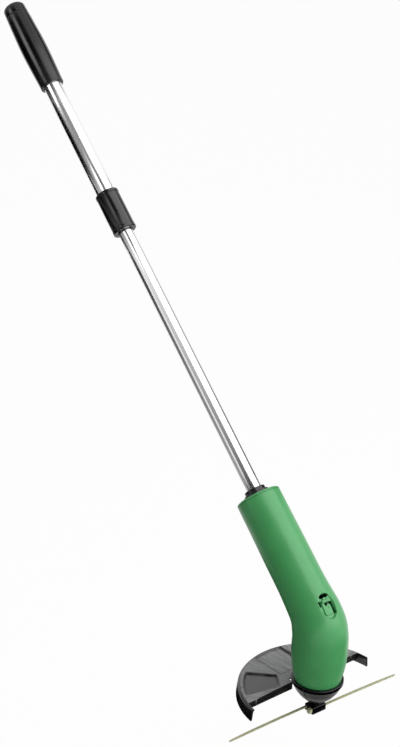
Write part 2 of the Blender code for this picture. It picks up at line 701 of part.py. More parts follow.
def make_pack():
    """Make the cradle, cells and springs; neighbouring cells stand opposite ways."""
    make_cradle()
    floor = CRADLE_FLOOR + 1.3
    ceiling = CRADLE_CEILING - 1.3
    for i, (a, b) in enumerate(((1, 1), (-1, 1), (-1, -1), (1, -1))):
        x = a * CELL_SPREAD
        y = b * CELL_SPREAD
        if i % 2 == 0:
            make_cell(f"cell_{i + 1}", x, y, 1)
            make_spring(f"cell_spring_{i + 1}", x, y, floor, CELL_BOTTOM - 0.4)
        else:
            make_cell(f"cell_{i + 1}", x, y, -1)
            make_spring(f"cell_spring_{i + 1}", x, y, CELL_BOTTOM + CELL_LENGTH + 0.4, ceiling)


# Motor and switch

def make_motor():
    """Make the motor's can, end bell, magnets, armature, shaft, mounting plate and bearing."""
    bore_r = MOTOR_R - MOTOR_WALL
    can_top = MOTOR_TOP - BELL_HEIGHT
    can = [(bore_r, can_top), (MOTOR_R, can_top), (MOTOR_R, MOTOR_BOTTOM + 1.0), (bore_r, MOTOR_BOTTOM),
           (MOTOR_NECK_R, MOTOR_BOTTOM), (MOTOR_NECK_R, MOTOR_BOTTOM + 1.2), (bore_r, MOTOR_BOTTOM + 1.2)]
    turned("motor_can", can, HEAD, STEEL)
    seat = can_top + GAP
    skirt_r = bore_r - 0.4
    hollow_r = bore_r - 1.8
    bell = [(0.0, MOTOR_TOP), (bore_r - 2.0, MOTOR_TOP), (bore_r, MOTOR_TOP - 2.0), (bore_r, seat),
            (skirt_r, seat), (skirt_r, MOTOR_TOP - BELL_SKIRT), (hollow_r, MOTOR_TOP - BELL_SKIRT),
            (hollow_r, MOTOR_TOP - BELL_WALL), (SHAFT_BORE_R, MOTOR_TOP - BELL_WALL),
            (SHAFT_BORE_R, MOTOR_TOP - 1.5), (0.0, MOTOR_TOP - 1.5)]
    turned("motor_end_bell", bell, HEAD, WHITE, closed=False)
    for side, start in (("left", -60.0), ("right", 120.0)):
        make_magnet(f"motor_magnet_{side}", start)
    ring("motor_armature", SHAFT_BORE_R, ARMATURE_R, ARMATURE_SPAN, HEAD, COPPER, steps=FINE, edge=0.8)
    round_bar("motor_shaft", SHAFT_R, (SHAFT_BOTTOM, MOTOR_TOP - BELL_WALL), HEAD, STEEL, MEDIUM, edge=0.2)
    plate_top = MOTOR_BOTTOM - GAP
    ring("motor_plate", MOTOR_NECK_R, PLATE_R, (plate_top - PLATE_THICK, plate_top), HEAD, STEEL)
    ring("shaft_bearing", SHAFT_R + RUNNING_GAP, BEARING_R, BEARING_SPAN, HEAD, BRASS, steps=FINE, edge=0.3)


def make_magnet(name, start_deg):
    """Make one curved magnet that stands inside the motor's can."""
    end_deg = start_deg + MAGNET_ARC_DEG
    outer_r = MOTOR_R - MOTOR_WALL - GAP
    outline = arc_points((0.0, 0.0), outer_r, start_deg, end_deg, 9)
    outline += arc_points((0.0, 0.0), MAGNET_INNER_R, end_deg, start_deg, 9)
    low, high = MAGNET_SPAN
    curve = bpy.data.curves.new(name, "CURVE")
    curve.dimensions = "2D"
    curve.fill_mode = "BOTH"
    curve.extrude = (high - low) / 2.0 * MM
    spline = curve.splines.new("POLY")
    spline.points.add(len(outline) - 1)
    spline.use_cyclic_u = True
    for point, (x, y) in zip(spline.points, outline):
        point.co = (x * MM, y * MM, 0.0, 1.0)
    magnet = add_object(name, curve, HEAD, MAGNET)
    magnet.location = (0.0, 0.0, (low + high) / 2.0 * MM)


def make_switch(switch):
    """Make the thumb slider with its ridge and stem, and the switch body that the stem works."""
    floor = -SWITCH_DEPTH + GAP
    slider = block("switch_slider", SLIDER_SIZE, (0.0, SLIDER_MIDDLE, floor + SLIDER_SIZE[2] / 2.0), switch,
                   GREEN, bevel=0.3)
    ridge = cutter_block("slider_ridge", RIDGE_SIZE, (0.0, STEM_MIDDLE, floor + RIDGE_SIZE[2] / 2.0), switch,
                         bevel=0.6)
    stem = cutter_block("slider_stem", STEM_SIZE, (0.0, STEM_MIDDLE - 0.1, floor - 2.6), switch)
    combine(slider, ridge, "UNION")
    combine(slider, stem, "UNION")
    middle = -SWITCH_DEPTH - 6.4
    body = block("switch_block", SWITCH_BLOCK, (0.0, STEM_MIDDLE, middle), switch, BLACK)
    well = cutter_block("switch_well", SWITCH_WELL, (0.0, STEM_MIDDLE + 1.9, middle + 2.0), switch)
    combine(body, well, "DIFFERENCE")


# Cup, guard and rotor

def make_cup():
    """Make the black cup under the body, with its bearing boss and the spigot inside the shells."""
    rim = BODY_BOTTOM - GAP
    rim_foot = rim - CUP_RIM
    spigot_bore = CUP_SPIGOT_R - CUP_SPIGOT_WALL
    boss_top = BEARING_SPAN[1] + 2.0
    seat = BEARING_SPAN[0] - GAP
    outside = [(CUP_SPIGOT_R, rim + CUP_SPIGOT), (CUP_SPIGOT_R, rim), (CUP_TOP_R - 0.4, rim),
               (CUP_TOP_R, rim - 0.6), (CUP_TOP_R - 0.2, rim_foot + 0.8), (CUP_TOP_R - 0.8, rim_foot),
               *CUP_CURVE, (CUP_BOTTOM_R, CUP_BOTTOM + 1.6), (CUP_BOTTOM_R - 0.5, CUP_BOTTOM)]
    inside = [(BEARING_MOUTH_R, CUP_BOTTOM), (BEARING_MOUTH_R, seat), (BEARING_R + GAP, seat),
              (BEARING_R + GAP, boss_top), (BEARING_R + 2.4, boss_top),
              (CUP_BOTTOM_R - 1.2, CUP_BOTTOM + 4.4), *CUP_HOLLOW, (CUP_HOLLOW[-1][0], rim_foot),
              (spigot_bore, rim)]
    cup = turned("motor_cup", [(spigot_bore, rim + CUP_SPIGOT)] + outside + inside, HEAD, BLACK)
    lug = cutter_block("cup_lug", (TONGUE_WIDTH, LUG_DEPTH, LUG_HEIGHT),
                       (0.0, LUG_Y, TONGUE_TOP + GAP + LUG_HEIGHT / 2.0), HEAD)
    combine(cup, lug, "UNION")
    for i, x in enumerate(GUARD_SCREW_XS):
        pilot = drill(f"guard_pilot_{i + 1}", GUARD_SCREW_HOLE_R, (TONGUE_TOP - 1.0, TONGUE_TOP + 4.0), HEAD)
        place(pilot, (x, GUARD_SCREW_Y, 0.0))
        combine(cup, pilot, "DIFFERENCE")


def plate_profile(offset, reach):
    """Return the guard's top profile from the middle out, lowered by an offset."""
    slope_end = GUARD_R - 3.0
    drop = (GUARD_CROWN_Z - GUARD_RIM_Z - 0.6) * (reach - GUARD_CROWN_R) / (slope_end - GUARD_CROWN_R)
    return [(0.0, GUARD_CROWN_Z - offset), (GUARD_CROWN_R, GUARD_CROWN_Z - offset),
            (reach, GUARD_CROWN_Z - offset - drop)]


def sink_area(guard, name, outline, depth):
    """Press an area of the guard's plate down by a depth, keeping its wall under the new floor."""
    reach = GUARD_R - 2.5
    centre = np.mean(outline, axis=0)
    wider = [tuple(centre + (np.array(point) - centre) * 1.05) for point in outline]
    under = plate_profile(GUARD_WALL - GAP, reach)
    bottom = plate_profile(GUARD_WALL + depth, reach)
    pad = turned(f"{name}_pad", under + bottom[::-1], HEAD, None, GUARD_STEPS, False, CUTTERS)
    combine(pad, prism(f"{name}_pad_outline", wider, 0.0, 60.0, HEAD), "INTERSECT")
    combine(guard, pad, "UNION")
    above = plate_profile(-5.0, reach)
    floor = plate_profile(depth, reach)
    cut = turned(f"{name}_cut", above + floor[::-1], HEAD, None, GUARD_STEPS, False, CUTTERS)
    combine(cut, prism(f"{name}_outline", outline, 0.0, 60.0, HEAD), "INTERSECT")
    combine(guard, cut, "DIFFERENCE")


def mirrored(outline):
    """Return an outline mirrored across the tool, still counter-clockwise."""
    return [(-x, y) for x, y in outline][::-1]


def cut_guard_front(guard):
    """Cut the half round to its straight front, whose skirt ends reach a little further."""
    reach = 2.2 * GUARD_R
    inner = GUARD_R - GUARD_WALL - 0.6
    floor = GUARD_FOOT_Z - 10.0
    front = cutter_block("guard_front_cut", (reach, 120.0, 60.0), (0.0, GUARD_END_Y + 60.0, 20.0), HEAD)
    notch = turned("guard_lip_cut", [(0.0, 60.0), (inner, 60.0), (inner, floor), (0.0, floor)], HEAD, None,
                   GUARD_STEPS, False, CUTTERS)
    ahead = cutter_block("guard_lip_ahead", (reach, 60.0, 60.0), (0.0, GUARD_EDGE_Y + 30.0, 20.0), HEAD)
    combine(notch, ahead, "INTERSECT")
    combine(guard, front, "DIFFERENCE")
    combine(guard, notch, "DIFFERENCE")
    drop = GUARD_CROWN_Z - GUARD_LIP_Z
    lip = cutter_block("guard_lip", (2.0 * (inner - 4.0), GUARD_WALL, drop),
                       (0.0, GUARD_EDGE_Y - GUARD_WALL / 2.0, GUARD_LIP_Z + drop / 2.0), HEAD)
    below = plate_profile(GUARD_WALL / 2.0, inner)
    below += [(inner, floor), (0.0, floor)]
    combine(lip, turned("guard_lip_room", below, HEAD, None, GUARD_STEPS, False, CUTTERS), "INTERSECT")
    combine(guard, lip, "UNION")


def make_guard():
    """Make the half round guard: plate, skirt, lip, sunk areas, windows, tongue and its screws."""
    profile = plate_profile(0.0, GUARD_R - 3.0)
    profile += [(GUARD_R, GUARD_RIM_Z - 1.2), (GUARD_FOOT_R, GUARD_FOOT_Z),
                (GUARD_FOOT_R - GUARD_WALL, GUARD_FOOT_Z), (GUARD_R - GUARD_WALL, GUARD_RIM_Z - 3.0)]
    profile += plate_profile(GUARD_WALL, GUARD_CROWN_R)[1::-1]
    guard = turned("guard", profile, HEAD, GUARD_GREY, GUARD_STEPS, closed=False)
    cut_guard_front(guard)
    panel = arc_points((0.0, 0.0), PANEL_R, PANEL_FROM_DEG, PANEL_TO_DEG, 5) + [PANEL_FRONT, PANEL_INNER]
    side = math.degrees(math.asin(CHANNEL_HALF / CHANNEL_R))
    channel = arc_points((0.0, 0.0), CHANNEL_R, -90.0 - side, -90.0 + side, 5)
    channel += [(CHANNEL_HALF, CHANNEL_FRONT_Y), (-CHANNEL_HALF, CHANNEL_FRONT_Y)]
    sink_area(guard, "left_panel", panel, PANEL_DEPTH)
    sink_area(guard, "right_panel", mirrored(panel), PANEL_DEPTH)
    sink_area(guard, "channel", channel, PANEL_DEPTH)
    back, front = TONGUE_SPAN_Y
    tongue = cutter_block("guard_tongue", (TONGUE_WIDTH, front - back, TONGUE_THICK),
                          (0.0, (back + front) / 2.0, TONGUE_TOP - TONGUE_THICK / 2.0), HEAD)
    combine(guard, tongue, "UNION")
    notch = cutter_block("guard_notch", (TONGUE_WIDTH + 2.0 * GAP, 20.0, 10.0),
                         (0.0, NOTCH_BACK_Y + 10.0, TONGUE_TOP + 5.0), HEAD)
    combine(guard, notch, "DIFFERENCE")
    back, front = WINDOW_SPAN_Y
    for i, x in enumerate(WINDOW_XS):
        window = cutter_block(f"guard_window_{i + 1}", (WINDOW_WIDTH, front - back, 40.0),
                              (x, (back + front) / 2.0, 25.0), HEAD)
        combine(guard, window, "DIFFERENCE")
    room = [(r + CUP_MARGIN, z - CUP_MARGIN / 2.0) for r, z in CUP_CURVE]
    wide = CUP_TOP_R + CUP_MARGIN
    low = CUP_BOTTOM - 5.0
    room = [(0.0, 60.0), (wide, 60.0), (wide, BODY_BOTTOM - CUP_RIM - 1.0), *room, (room[-1][0], low), (0.0, low)]
    cone = turned("guard_cone_cut", room, HEAD, None, closed=False, collection=CUTTERS)
    combine(guard, cone, "DIFFERENCE")
    make_guard_screws(guard)


def make_guard_screws(guard):
    """Make the two screws that hold the guard's tongue under the cup, and their holes."""
    under = TONGUE_TOP - TONGUE_THICK - GAP
    for i, x in enumerate(GUARD_SCREW_XS):
        hole = drill(f"guard_screw_hole_{i + 1}", GUARD_SCREW_HOLE_R, (20.0, TONGUE_TOP + 2.0), HEAD)
        place(hole, (x, GUARD_SCREW_Y, 0.0))
        combine(guard, hole, "DIFFERENCE")
        screw = screw_with_head(f"guard_screw_{i + 1}", SCREW_HEAD_R, (under, under - SCREW_HEAD), SCREW_R,
                                TONGUE_TOP + 3.6, HEAD)
        place(screw, (x, GUARD_SCREW_Y, 0.0))


def make_rotor():
    """Make the block that carries the strips, the screw that holds it, and the two strips."""
    length, _, height = BLOCK_SIZE
    turn = Matrix.Rotation(math.radians(ROTOR_TURN_DEG), 3, "Z").to_euler()
    spindle = make_frame("rotor_frame", Vector((0.0, 0.0, 0.0)), turn, PARTS, HEAD)
    rotor = block("rotor_block", BLOCK_SIZE, (0.0, 0.0, height / 2.0), spindle, BLACK, bevel=0.6)
    neck = round_bar("rotor_neck", BLOCK_NECK_R, (height - 1.0, CUP_BOTTOM - NECK_CLEARANCE), spindle,
                     collection=CUTTERS)
    combine(rotor, neck, "UNION")
    bore = drill("rotor_bore", SHAFT_BORE_R, (SHAFT_BOTTOM - GAP, 20.0), spindle, MEDIUM)
    head_hole = drill("rotor_screw_sink", ROTOR_SCREW_HEAD_R + GAP, (-2.0, 1.6), spindle, MEDIUM)
    shank_hole = drill("rotor_screw_hole", ROTOR_SCREW_R + GAP, (-1.0, 4.0), spindle, MEDIUM)
    slot_size = (length + 4.0, STRIP_WIDTH + 2.0 * GAP, STRIP_THICK + 2.0 * GAP)
    slots = [cutter_block(f"strip_slot_{i + 1}", slot_size, (0.0, y, STRIP_HEIGHT), spindle)
             for i, y in enumerate((STRIP_OFFSET, -STRIP_OFFSET))]
    for cutter in (bore, head_hole, shank_hole, *slots):
        combine(rotor, cutter, "DIFFERENCE")
    screw_with_head("rotor_screw", ROTOR_SCREW_HEAD_R, (1.0, 0.2), ROTOR_SCREW_R, 3.0, spindle)
    make_strip("cutting_strip_left", 0.0, -STRIP_OFFSET, spindle)
    make_strip("cutting_strip_right", 180.0, STRIP_OFFSET, spindle)


def make_strip(name, turn_deg, offset, spindle):
    """Make one nylon strip: a square head, and a flat tail that droops a little to its tip."""
    half_block = BLOCK_SIZE[0] / 2.0
    start = -(half_block + GAP + STRIP_HEAD[0] / 2.0)
    xs = np.concatenate([[start], np.linspace(half_block, STRIP_REACH, 10)])
    along = np.clip((xs - half_block) / (STRIP_REACH - half_block), 0.0, 1.0)
    drops = STRIP_DROOP * along ** 2.4
    halves = STRIP_WIDTH / 2.0 * (1.0 - STRIP_TAPER * along ** 8)
    thick = STRIP_THICK / 2.0
    mesh = bpy.data.meshes.new(name)
    cage = bmesh.new()
    rows = []
    for x, drop, half in zip(xs, drops, halves):
        corners = ((-half, -thick), (half, -thick), (half, thick), (-half, thick))
        rows.append([cage.verts.new((x * MM, y * MM, (z - drop) * MM)) for y, z in corners])
    for a, b in zip(rows, rows[1:]):
        for i in range(4):
            j = (i + 1) % 4
            cage.faces.new((a[i], b[i], b[j], a[j]))
    cage.faces.new(rows[0])
    cage.faces.new(rows[-1][::-1])
    bmesh.ops.recalc_face_normals(cage, faces=cage.faces)
    cage.to_mesh(mesh)
    cage.free()
    strip = add_object(name, mesh, spindle, NYLON)
    head = cutter_block(name + "_head", STRIP_HEAD, (start, 0.0, STRIP_HEAD_LIFT), strip, bevel=0.5)
    combine(strip, head, "UNION")
    place(strip, (0.0, offset, STRIP_HEIGHT), turn_deg, "Z")


def build():
    """Make every sub-part of the trimmer."""
    make_pole()
    make_collar()
    make_grip()
    switch = switch_frame()
    make_rear_shell(switch)
    make_front_shell()
    make_shell_screws()
    make_body_ends()
    make_battery_cover()
    make_pack()
    make_motor()
    make_switch(switch)
    tube_curve("motor_wire_red", RED_WIRE, WIRE_R, HEAD, RED)
    tube_curve("motor_wire_black", BLACK_WIRE, WIRE_R, HEAD, BLACK)
    make_cup()
    make_guard()
    make_rotor()


build()
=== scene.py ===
"""Looks of the cordless string trimmer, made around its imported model.

Every piece is drawn in millimetres in one of the trimmer's own frames, as a surface worked out
with numpy, and carried into the world in metres. Each sub-assembly is a class that holds its
sizes, builds its meshes and dresses them.
"""

import json
import logging
import math
from dataclasses import dataclass
from enum import Enum

import bmesh
import bpy
import numpy as np
from mathutils import Matrix, Vector

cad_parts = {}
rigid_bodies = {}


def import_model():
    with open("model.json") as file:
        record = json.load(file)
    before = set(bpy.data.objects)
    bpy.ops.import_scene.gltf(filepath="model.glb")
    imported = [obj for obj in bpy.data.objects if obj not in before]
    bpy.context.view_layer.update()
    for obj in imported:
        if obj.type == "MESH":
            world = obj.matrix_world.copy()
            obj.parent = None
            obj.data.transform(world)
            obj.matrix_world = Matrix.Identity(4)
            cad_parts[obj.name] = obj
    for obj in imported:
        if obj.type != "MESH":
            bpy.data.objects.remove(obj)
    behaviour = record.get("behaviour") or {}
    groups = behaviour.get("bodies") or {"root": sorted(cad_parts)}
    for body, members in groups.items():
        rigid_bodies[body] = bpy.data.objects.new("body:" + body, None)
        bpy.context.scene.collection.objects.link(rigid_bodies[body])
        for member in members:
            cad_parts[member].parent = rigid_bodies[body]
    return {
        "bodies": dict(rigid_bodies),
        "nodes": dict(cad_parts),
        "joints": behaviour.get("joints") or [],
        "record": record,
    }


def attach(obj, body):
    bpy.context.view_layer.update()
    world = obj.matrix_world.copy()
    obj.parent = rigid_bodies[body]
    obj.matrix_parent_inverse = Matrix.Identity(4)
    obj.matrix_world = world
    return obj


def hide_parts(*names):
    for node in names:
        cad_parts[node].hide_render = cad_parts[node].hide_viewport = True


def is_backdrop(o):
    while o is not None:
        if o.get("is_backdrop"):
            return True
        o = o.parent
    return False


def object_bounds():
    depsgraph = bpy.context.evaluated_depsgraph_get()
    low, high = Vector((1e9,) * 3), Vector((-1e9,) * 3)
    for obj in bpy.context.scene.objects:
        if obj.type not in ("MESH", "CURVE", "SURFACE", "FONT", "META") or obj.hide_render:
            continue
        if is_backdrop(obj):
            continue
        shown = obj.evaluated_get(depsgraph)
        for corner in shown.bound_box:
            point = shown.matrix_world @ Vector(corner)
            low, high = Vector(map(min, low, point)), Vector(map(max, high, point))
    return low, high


Array = np.ndarray
Mesh = bpy.types.Mesh
Socket = bpy.types.NodeSocket
Pair = tuple[float, float]
Triple = tuple[float, float, float]
Outline = list[Pair]
Colour = Triple

MM = 0.001
MERGE = 0.000002
TINY = 1e-9
FULL_TURN = 2.0 * math.pi
ROUND_STEPS = 128
RIM_SHARES = (0.1, 0.25, 0.45, 0.7, 1.0)
CUT_EDGE = 0.05
WHITE = (1.0, 1.0, 1.0, 1.0)
NOISE_RANGE = (0.3, 0.7)
NOISE_ROUGHNESS = 0.55
GLOSS_SPREAD = (0.92, 1.1)
RELIEF = "relief"
SHEET_UV = "across_and_along"
log = logging.getLogger("string_trimmer")


class Body(Enum):
    """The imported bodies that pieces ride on."""

    POLE = "grip_pole"
    COLLAR = "twist_collar"
    HEAD = "head"
    COVER = "battery_cover"
    SLIDER = "switch_slider"
    ROTOR = "rotor"


class Slot(Enum):
    """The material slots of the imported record."""

    GREEN = "green_moulding"
    BLACK = "black_moulding"
    GUARD = "guard_moulding"
    GRIP = "grip"
    TUBE = "bright_tube"
    STEEL = "steel"
    MAGNET = "magnet"
    WINDING = "winding"
    BRASS = "brass"
    CELL = "cell"
    WHITE = "white_plastic"
    NYLON = "nylon"
    RED = "wire_red"


class Join(Enum):
    """How one closed shape is combined with another."""

    ADD = "UNION"
    CUT = "DIFFERENCE"


# Frames and surfaces

@dataclass(frozen=True)
class Place:
    """A point of the trimmer in metres, with three directions in which pieces are drawn."""

    origin: Array
    across: Array
    ahead: Array
    up: Array

    def world(self, points: Array) -> Array:
        """Carry points from this frame, in millimetres, into the world.

        Args:
            points: rows of (across, ahead, up).

        Returns:
            The same points as world coordinates in metres.
        """
        return self.origin + points @ np.stack([self.across, self.ahead, self.up]) * MM

    def local(self, points: Array) -> Array:
        """Return world points, in metres, as millimetres in this frame."""
        return (points - self.origin) @ np.stack([self.across, self.ahead, self.up]).T / MM


@dataclass
class Skin:
    """A closed surface: points in millimetres and faces of four corners."""

    points: Array
    faces: Array

    def moved(self, offset: Triple) -> "Skin":
        """Return this skin shifted by an offset."""
        return Skin(self.points + np.array(offset), self.faces)

    def turned(self, degrees: float, axis: str) -> "Skin":
        """Return this skin turned about an axis through its frame's origin.

        Args:
            degrees: the turn, counter-clockwise seen from the axis' positive end.
            axis: X, Y or Z.

        Returns:
            The turned skin.
        """
        turn = np.array(Matrix.Rotation(math.radians(degrees), 3, axis))
        return Skin(self.points @ turn.T, self.faces)


def joined(*skins: Skin) -> Skin:
    """Put several skins that don't touch into one.

    Args:
        skins: the skins.

    Returns:
        One skin.
    """
    starts = np.cumsum([0] + [len(skin.points) for skin in skins])
    points = np.concatenate([skin.points for skin in skins])
    faces = np.concatenate([skin.faces + start for skin, start in zip(skins, starts)])
    return Skin(points, faces)


def grid_faces(rows: int, columns: int, wrap_rows: bool = False, wrap_columns: bool = False) -> Array:
    """Return the faces between the points of a grid.

    Face (i, j) joins the points (i, j), (i, j+1), (i+1, j+1) and (i+1, j), where a wrapped
    direction counts on from its last line to its first.

    Args:
        rows: how many rows of points there are.
        columns: how many points each row has.
        wrap_rows: whether the last row joins the first.
        wrap_columns: whether each row is a closed ring.

    Returns:
        An array with four point numbers for each face.
    """
    i, j = np.meshgrid(np.arange(rows if wrap_rows else rows - 1),
                       np.arange(columns if wrap_columns else columns - 1), indexing="ij")
    below = (i + 1) % rows
    right = (j + 1) % columns
    corners = [i * columns + j, i * columns + right, below * columns + right, below * columns + j]
    return np.stack([c.ravel() for c in corners], axis=1)


def grid_points(x: Array, y: Array, z: Array) -> Array:
    """Return the points of a grid, row by row, from its three arrays of coordinates."""
    return np.stack([c.ravel() for c in np.broadcast_arrays(x, y, z)], axis=1).astype(float)


def slab(top: Array, bottom: Array, keep: Array | None = None, open_start: bool = False) -> Skin:
    """Close the space between two grids of points into one solid wall.

    The top and bottom faces of a kept cell are the grid's own. Where a kept cell meets the
    grid's edge or a cell that is left out, a wall joins the top edge to the bottom edge.

    Args:
        top: the upper grid, as rows by columns by 3.
        bottom: the lower grid, of the same size.
        keep: for each cell whether it is solid, or None for all.
        open_start: whether the wall at the first row is left out, where that row is a point.

    Returns:
        The closed skin.
    """
    rows, columns, _ = top.shape
    solid = np.ones((rows - 1, columns - 1), bool) if keep is None else keep
    number = np.arange(rows * columns).reshape(rows, columns)
    faces = grid_faces(rows, columns)[solid.ravel()]
    framed = np.pad(solid, 1)
    walls = [faces, faces[:, ::-1] + rows * columns]
    for along_rows in (True, False):
        edge_a = number[:, :-1] if along_rows else number[:-1, :]
        edge_b = number[:, 1:] if along_rows else number[1:, :]
        before = framed[:-1, 1:-1] if along_rows else framed[1:-1, :-1]
        after = framed[1:, 1:-1] if along_rows else framed[1:-1, 1:]
        border = before != after
        if open_start and along_rows:
            border[0] = False
        a = edge_a[border]
        b = edge_b[border]
        walls.append(np.stack([a, b, b + rows * columns, a + rows * columns], axis=1))
    return Skin(np.concatenate([top.reshape(-1, 3), bottom.reshape(-1, 3)]), np.concatenate(walls))


def rounded(corners: Outline, radius: float | list[float], closed: bool = True, steps: int = 5) -> Array:
    """Round the corners of an outline with arcs.

    At each corner the arc touches both sides at radius / tan(half the corner's angle) from it.

    Args:
        corners: the outline's corners in order.
        radius: one radius for all corners, or one for each.
        closed: whether the last corner joins the first; the ends of an open outline stay sharp.
        steps: how many points each arc has.

    Returns:
        The points of the rounded outline.
    """
    spots = np.array(corners, float)
    radii = np.full(len(spots), radius) if np.isscalar(radius) else np.array(radius, float)
    before = np.roll(spots, 1, axis=0) - spots
    after = np.roll(spots, -1, axis=0) - spots
    before /= np.linalg.norm(before, axis=1)[:, None]
    after /= np.linalg.norm(after, axis=1)[:, None]
    half = np.arccos(np.clip((before * after).sum(1), -1.0, 1.0)) / 2.0
    if not closed:
        radii[[0, -1]] = 0.0
    reach = radii / np.tan(half)
    middle = before + after
    size = np.linalg.norm(middle, axis=1)[:, None]
    middle = np.divide(middle, size, out=np.zeros_like(middle), where=size > TINY)
    centre = spots + middle * (radii / np.sin(half))[:, None]
    share = np.linspace(0.0, 1.0, steps)[None, :, None]
    start = spots + before * reach[:, None] - centre
    end = spots + after * reach[:, None] - centre
    span = (math.pi - 2.0 * half)[:, None, None]
    sine = np.maximum(np.sin(span), TINY)
    arc = (np.sin((1.0 - share) * span) * start[:, None] + np.sin(share * span) * end[:, None]) / sine
    plain = (radii < TINY)[:, None, None]
    return np.where(plain, spots[:, None], centre[:, None] + arc).reshape(-1, 2)


def lathe(profile: Array, steps: int = 96, closed: bool = True) -> Skin:
    """Turn a profile about the up axis.

    A profile point (r, h) becomes (r cos a, r sin a, h) for every angle a of a full turn.

    Args:
        profile: points of (radius, height).
        steps: how many points go round.
        closed: whether the profile is a ring, as on a hollow piece; otherwise it ends on the axis.

    Returns:
        The turned skin.
    """
    angles = np.linspace(0.0, FULL_TURN, steps, endpoint=False)
    r = profile[:, 0][:, None]
    points = grid_points(r * np.cos(angles), r * np.sin(angles), profile[:, 1][:, None])
    return Skin(points, grid_faces(len(profile), steps, wrap_rows=closed, wrap_columns=True))


def bar(outline: Array, low: float, high: float, edge: float = CUT_EDGE, steps: int = 4) -> Skin:
    """Make a bar on an outline, with rounded edges at both ends.

    Ring k stands at height h(k) and is the outline drawn in towards its middle by the inset of a
    quarter circle of radius edge, so the ends are flat and their rims round.

    Args:
        outline: the points round the bar, counter-clockwise about their middle.
        low: the height of its lower face.
        high: the height of its upper face.
        edge: the radius of the rounding; a bar that cuts has a hardly rounded one.
        steps: how many rings each rounding has.

    Returns:
        The closed skin.
    """
    quarter = np.linspace(0.0, math.pi / 2.0, steps)
    inset = np.concatenate([edge * (1.0 - np.sin(quarter)), edge * (1.0 - np.cos(quarter))])
    height = np.concatenate([low + edge * (1.0 - np.cos(quarter)), high - edge * (1.0 - np.sin(quarter))])
    middle = (outline.max(0) + outline.min(0)) / 2.0
    half = (outline.max(0) - outline.min(0)) / 2.0
    scale = 1.0 - inset[:, None] / half[None, :]
    rings = middle + (outline - middle)[None] * scale[:, None, :]
    tip = np.broadcast_to(middle, (1, *rings.shape[1:]))
    rings = np.concatenate([tip, rings, tip])
    height = np.concatenate([[low], height, [high]])
    points = grid_points(rings[..., 0], rings[..., 1], height[:, None])
    return Skin(points, grid_faces(*rings.shape[:2], wrap_columns=True))


def box_outline(width: float, depth: float, corner: float) -> Array:
    """Return a rectangle about the origin with rounded corners, counter-clockwise.

    Args:
        width: its first size.
        depth: its second size.
        corner: the radius of its corners.

    Returns:
        The points of the outline.
    """
    x = width / 2.0
    y = depth / 2.0
    return rounded([(x, -y), (x, y), (-x, y), (-x, -y)], corner, steps=6)


def oval_outline(half_width: float, half_length: float, steps: int = 64) -> Array:
    """Return an oval about the origin, counter-clockwise."""
    angles = np.linspace(0.0, FULL_TURN, steps, endpoint=False)
    return np.stack([half_width * np.cos(angles), half_length * np.sin(angles)], axis=1)


def through(stations: Outline, at: Array) -> Array:
    """Draw a smooth curve through stations.

    It is a cubic between each pair, with the mean of the neighbouring slopes at each station.

    Args:
        stations: pairs of (place, value) in rising order of place.
        at: the places to read.

    Returns:
        The values there.
    """
    x, y = np.array(stations, float).T
    slope = np.gradient(y, x)
    k = np.clip(np.searchsorted(x, at, side="right") - 1, 0, len(x) - 2)
    gap = x[k + 1] - x[k]
    t = np.clip((at - x[k]) / gap, 0.0, 1.0)
    return ((2 * t**3 - 3 * t**2 + 1) * y[k] + (t**3 - 2 * t**2 + t) * gap * slope[k]
            + (3 * t**2 - 2 * t**3) * y[k + 1] + (t**3 - t**2) * gap * slope[k + 1])


@dataclass(frozen=True)
class Block:
    """A rounded block or opening: its middle, its width and length, its corners and its edges."""

    x: float
    y: float
    width: float
    length: float
    corner: float
    edge: float = CUT_EDGE

    def between(self, low: float, high: float) -> Skin:
        """Return the block as a skin that stands between two heights."""
        outline = box_outline(self.width, self.length, self.corner)
        return bar(outline, low, high, self.edge).moved((self.x, self.y, 0.0))


@dataclass(frozen=True)
class Oval:
    """An oval opening: its middle, its width and its length."""

    x: float
    y: float
    width: float
    length: float

    def between(self, low: float, high: float, steps: int = 64) -> Skin:
        """Return the oval as a skin that stands between two heights."""
        outline = oval_outline(self.width / 2.0, self.length / 2.0, steps)
        return bar(outline, low, high).moved((self.x, self.y, 0.0))


def ease(value: Array) -> Array:
    """Return a smooth step: 0 below 0, 1 above 1, and 3v² - 2v³ between."""
    v = np.clip(value, 0.0, 1.0)
    return v * v * (3.0 - 2.0 * v)


def lines(start: float, stop: float, gap: float, edge: float = 0.0,
          extra: tuple[float, ...] = ()) -> Array:
    """Return places from start to stop, closer together near both ends where an edge is rounded.

    Args:
        start: the first place.
        stop: the last place.
        gap: the largest distance between places.
        edge: the length of the rounded edge, which gets five places of its own.
        extra: places that must be among them.

    Returns:
        The sorted places.
    """
    plain = np.linspace(start, stop, max(2, int(math.ceil((stop - start) / gap)) + 1))
    rim = edge * np.array(RIM_SHARES) if edge > 0.0 else np.array([])
    return np.unique(np.round(np.concatenate([plain, start + rim, stop - rim, extra]), 6))


def rim_drop(distance: Array, radius: float) -> Array:
    """Return how far a rounded edge lies under the surface at a distance from its rim.

    It is radius - sqrt(radius² - (radius - distance)²), the fall of a quarter circle.
    """
    short = np.clip(radius - distance, 0.0, radius)
    return radius - np.sqrt(radius**2 - short**2)


# Finishes

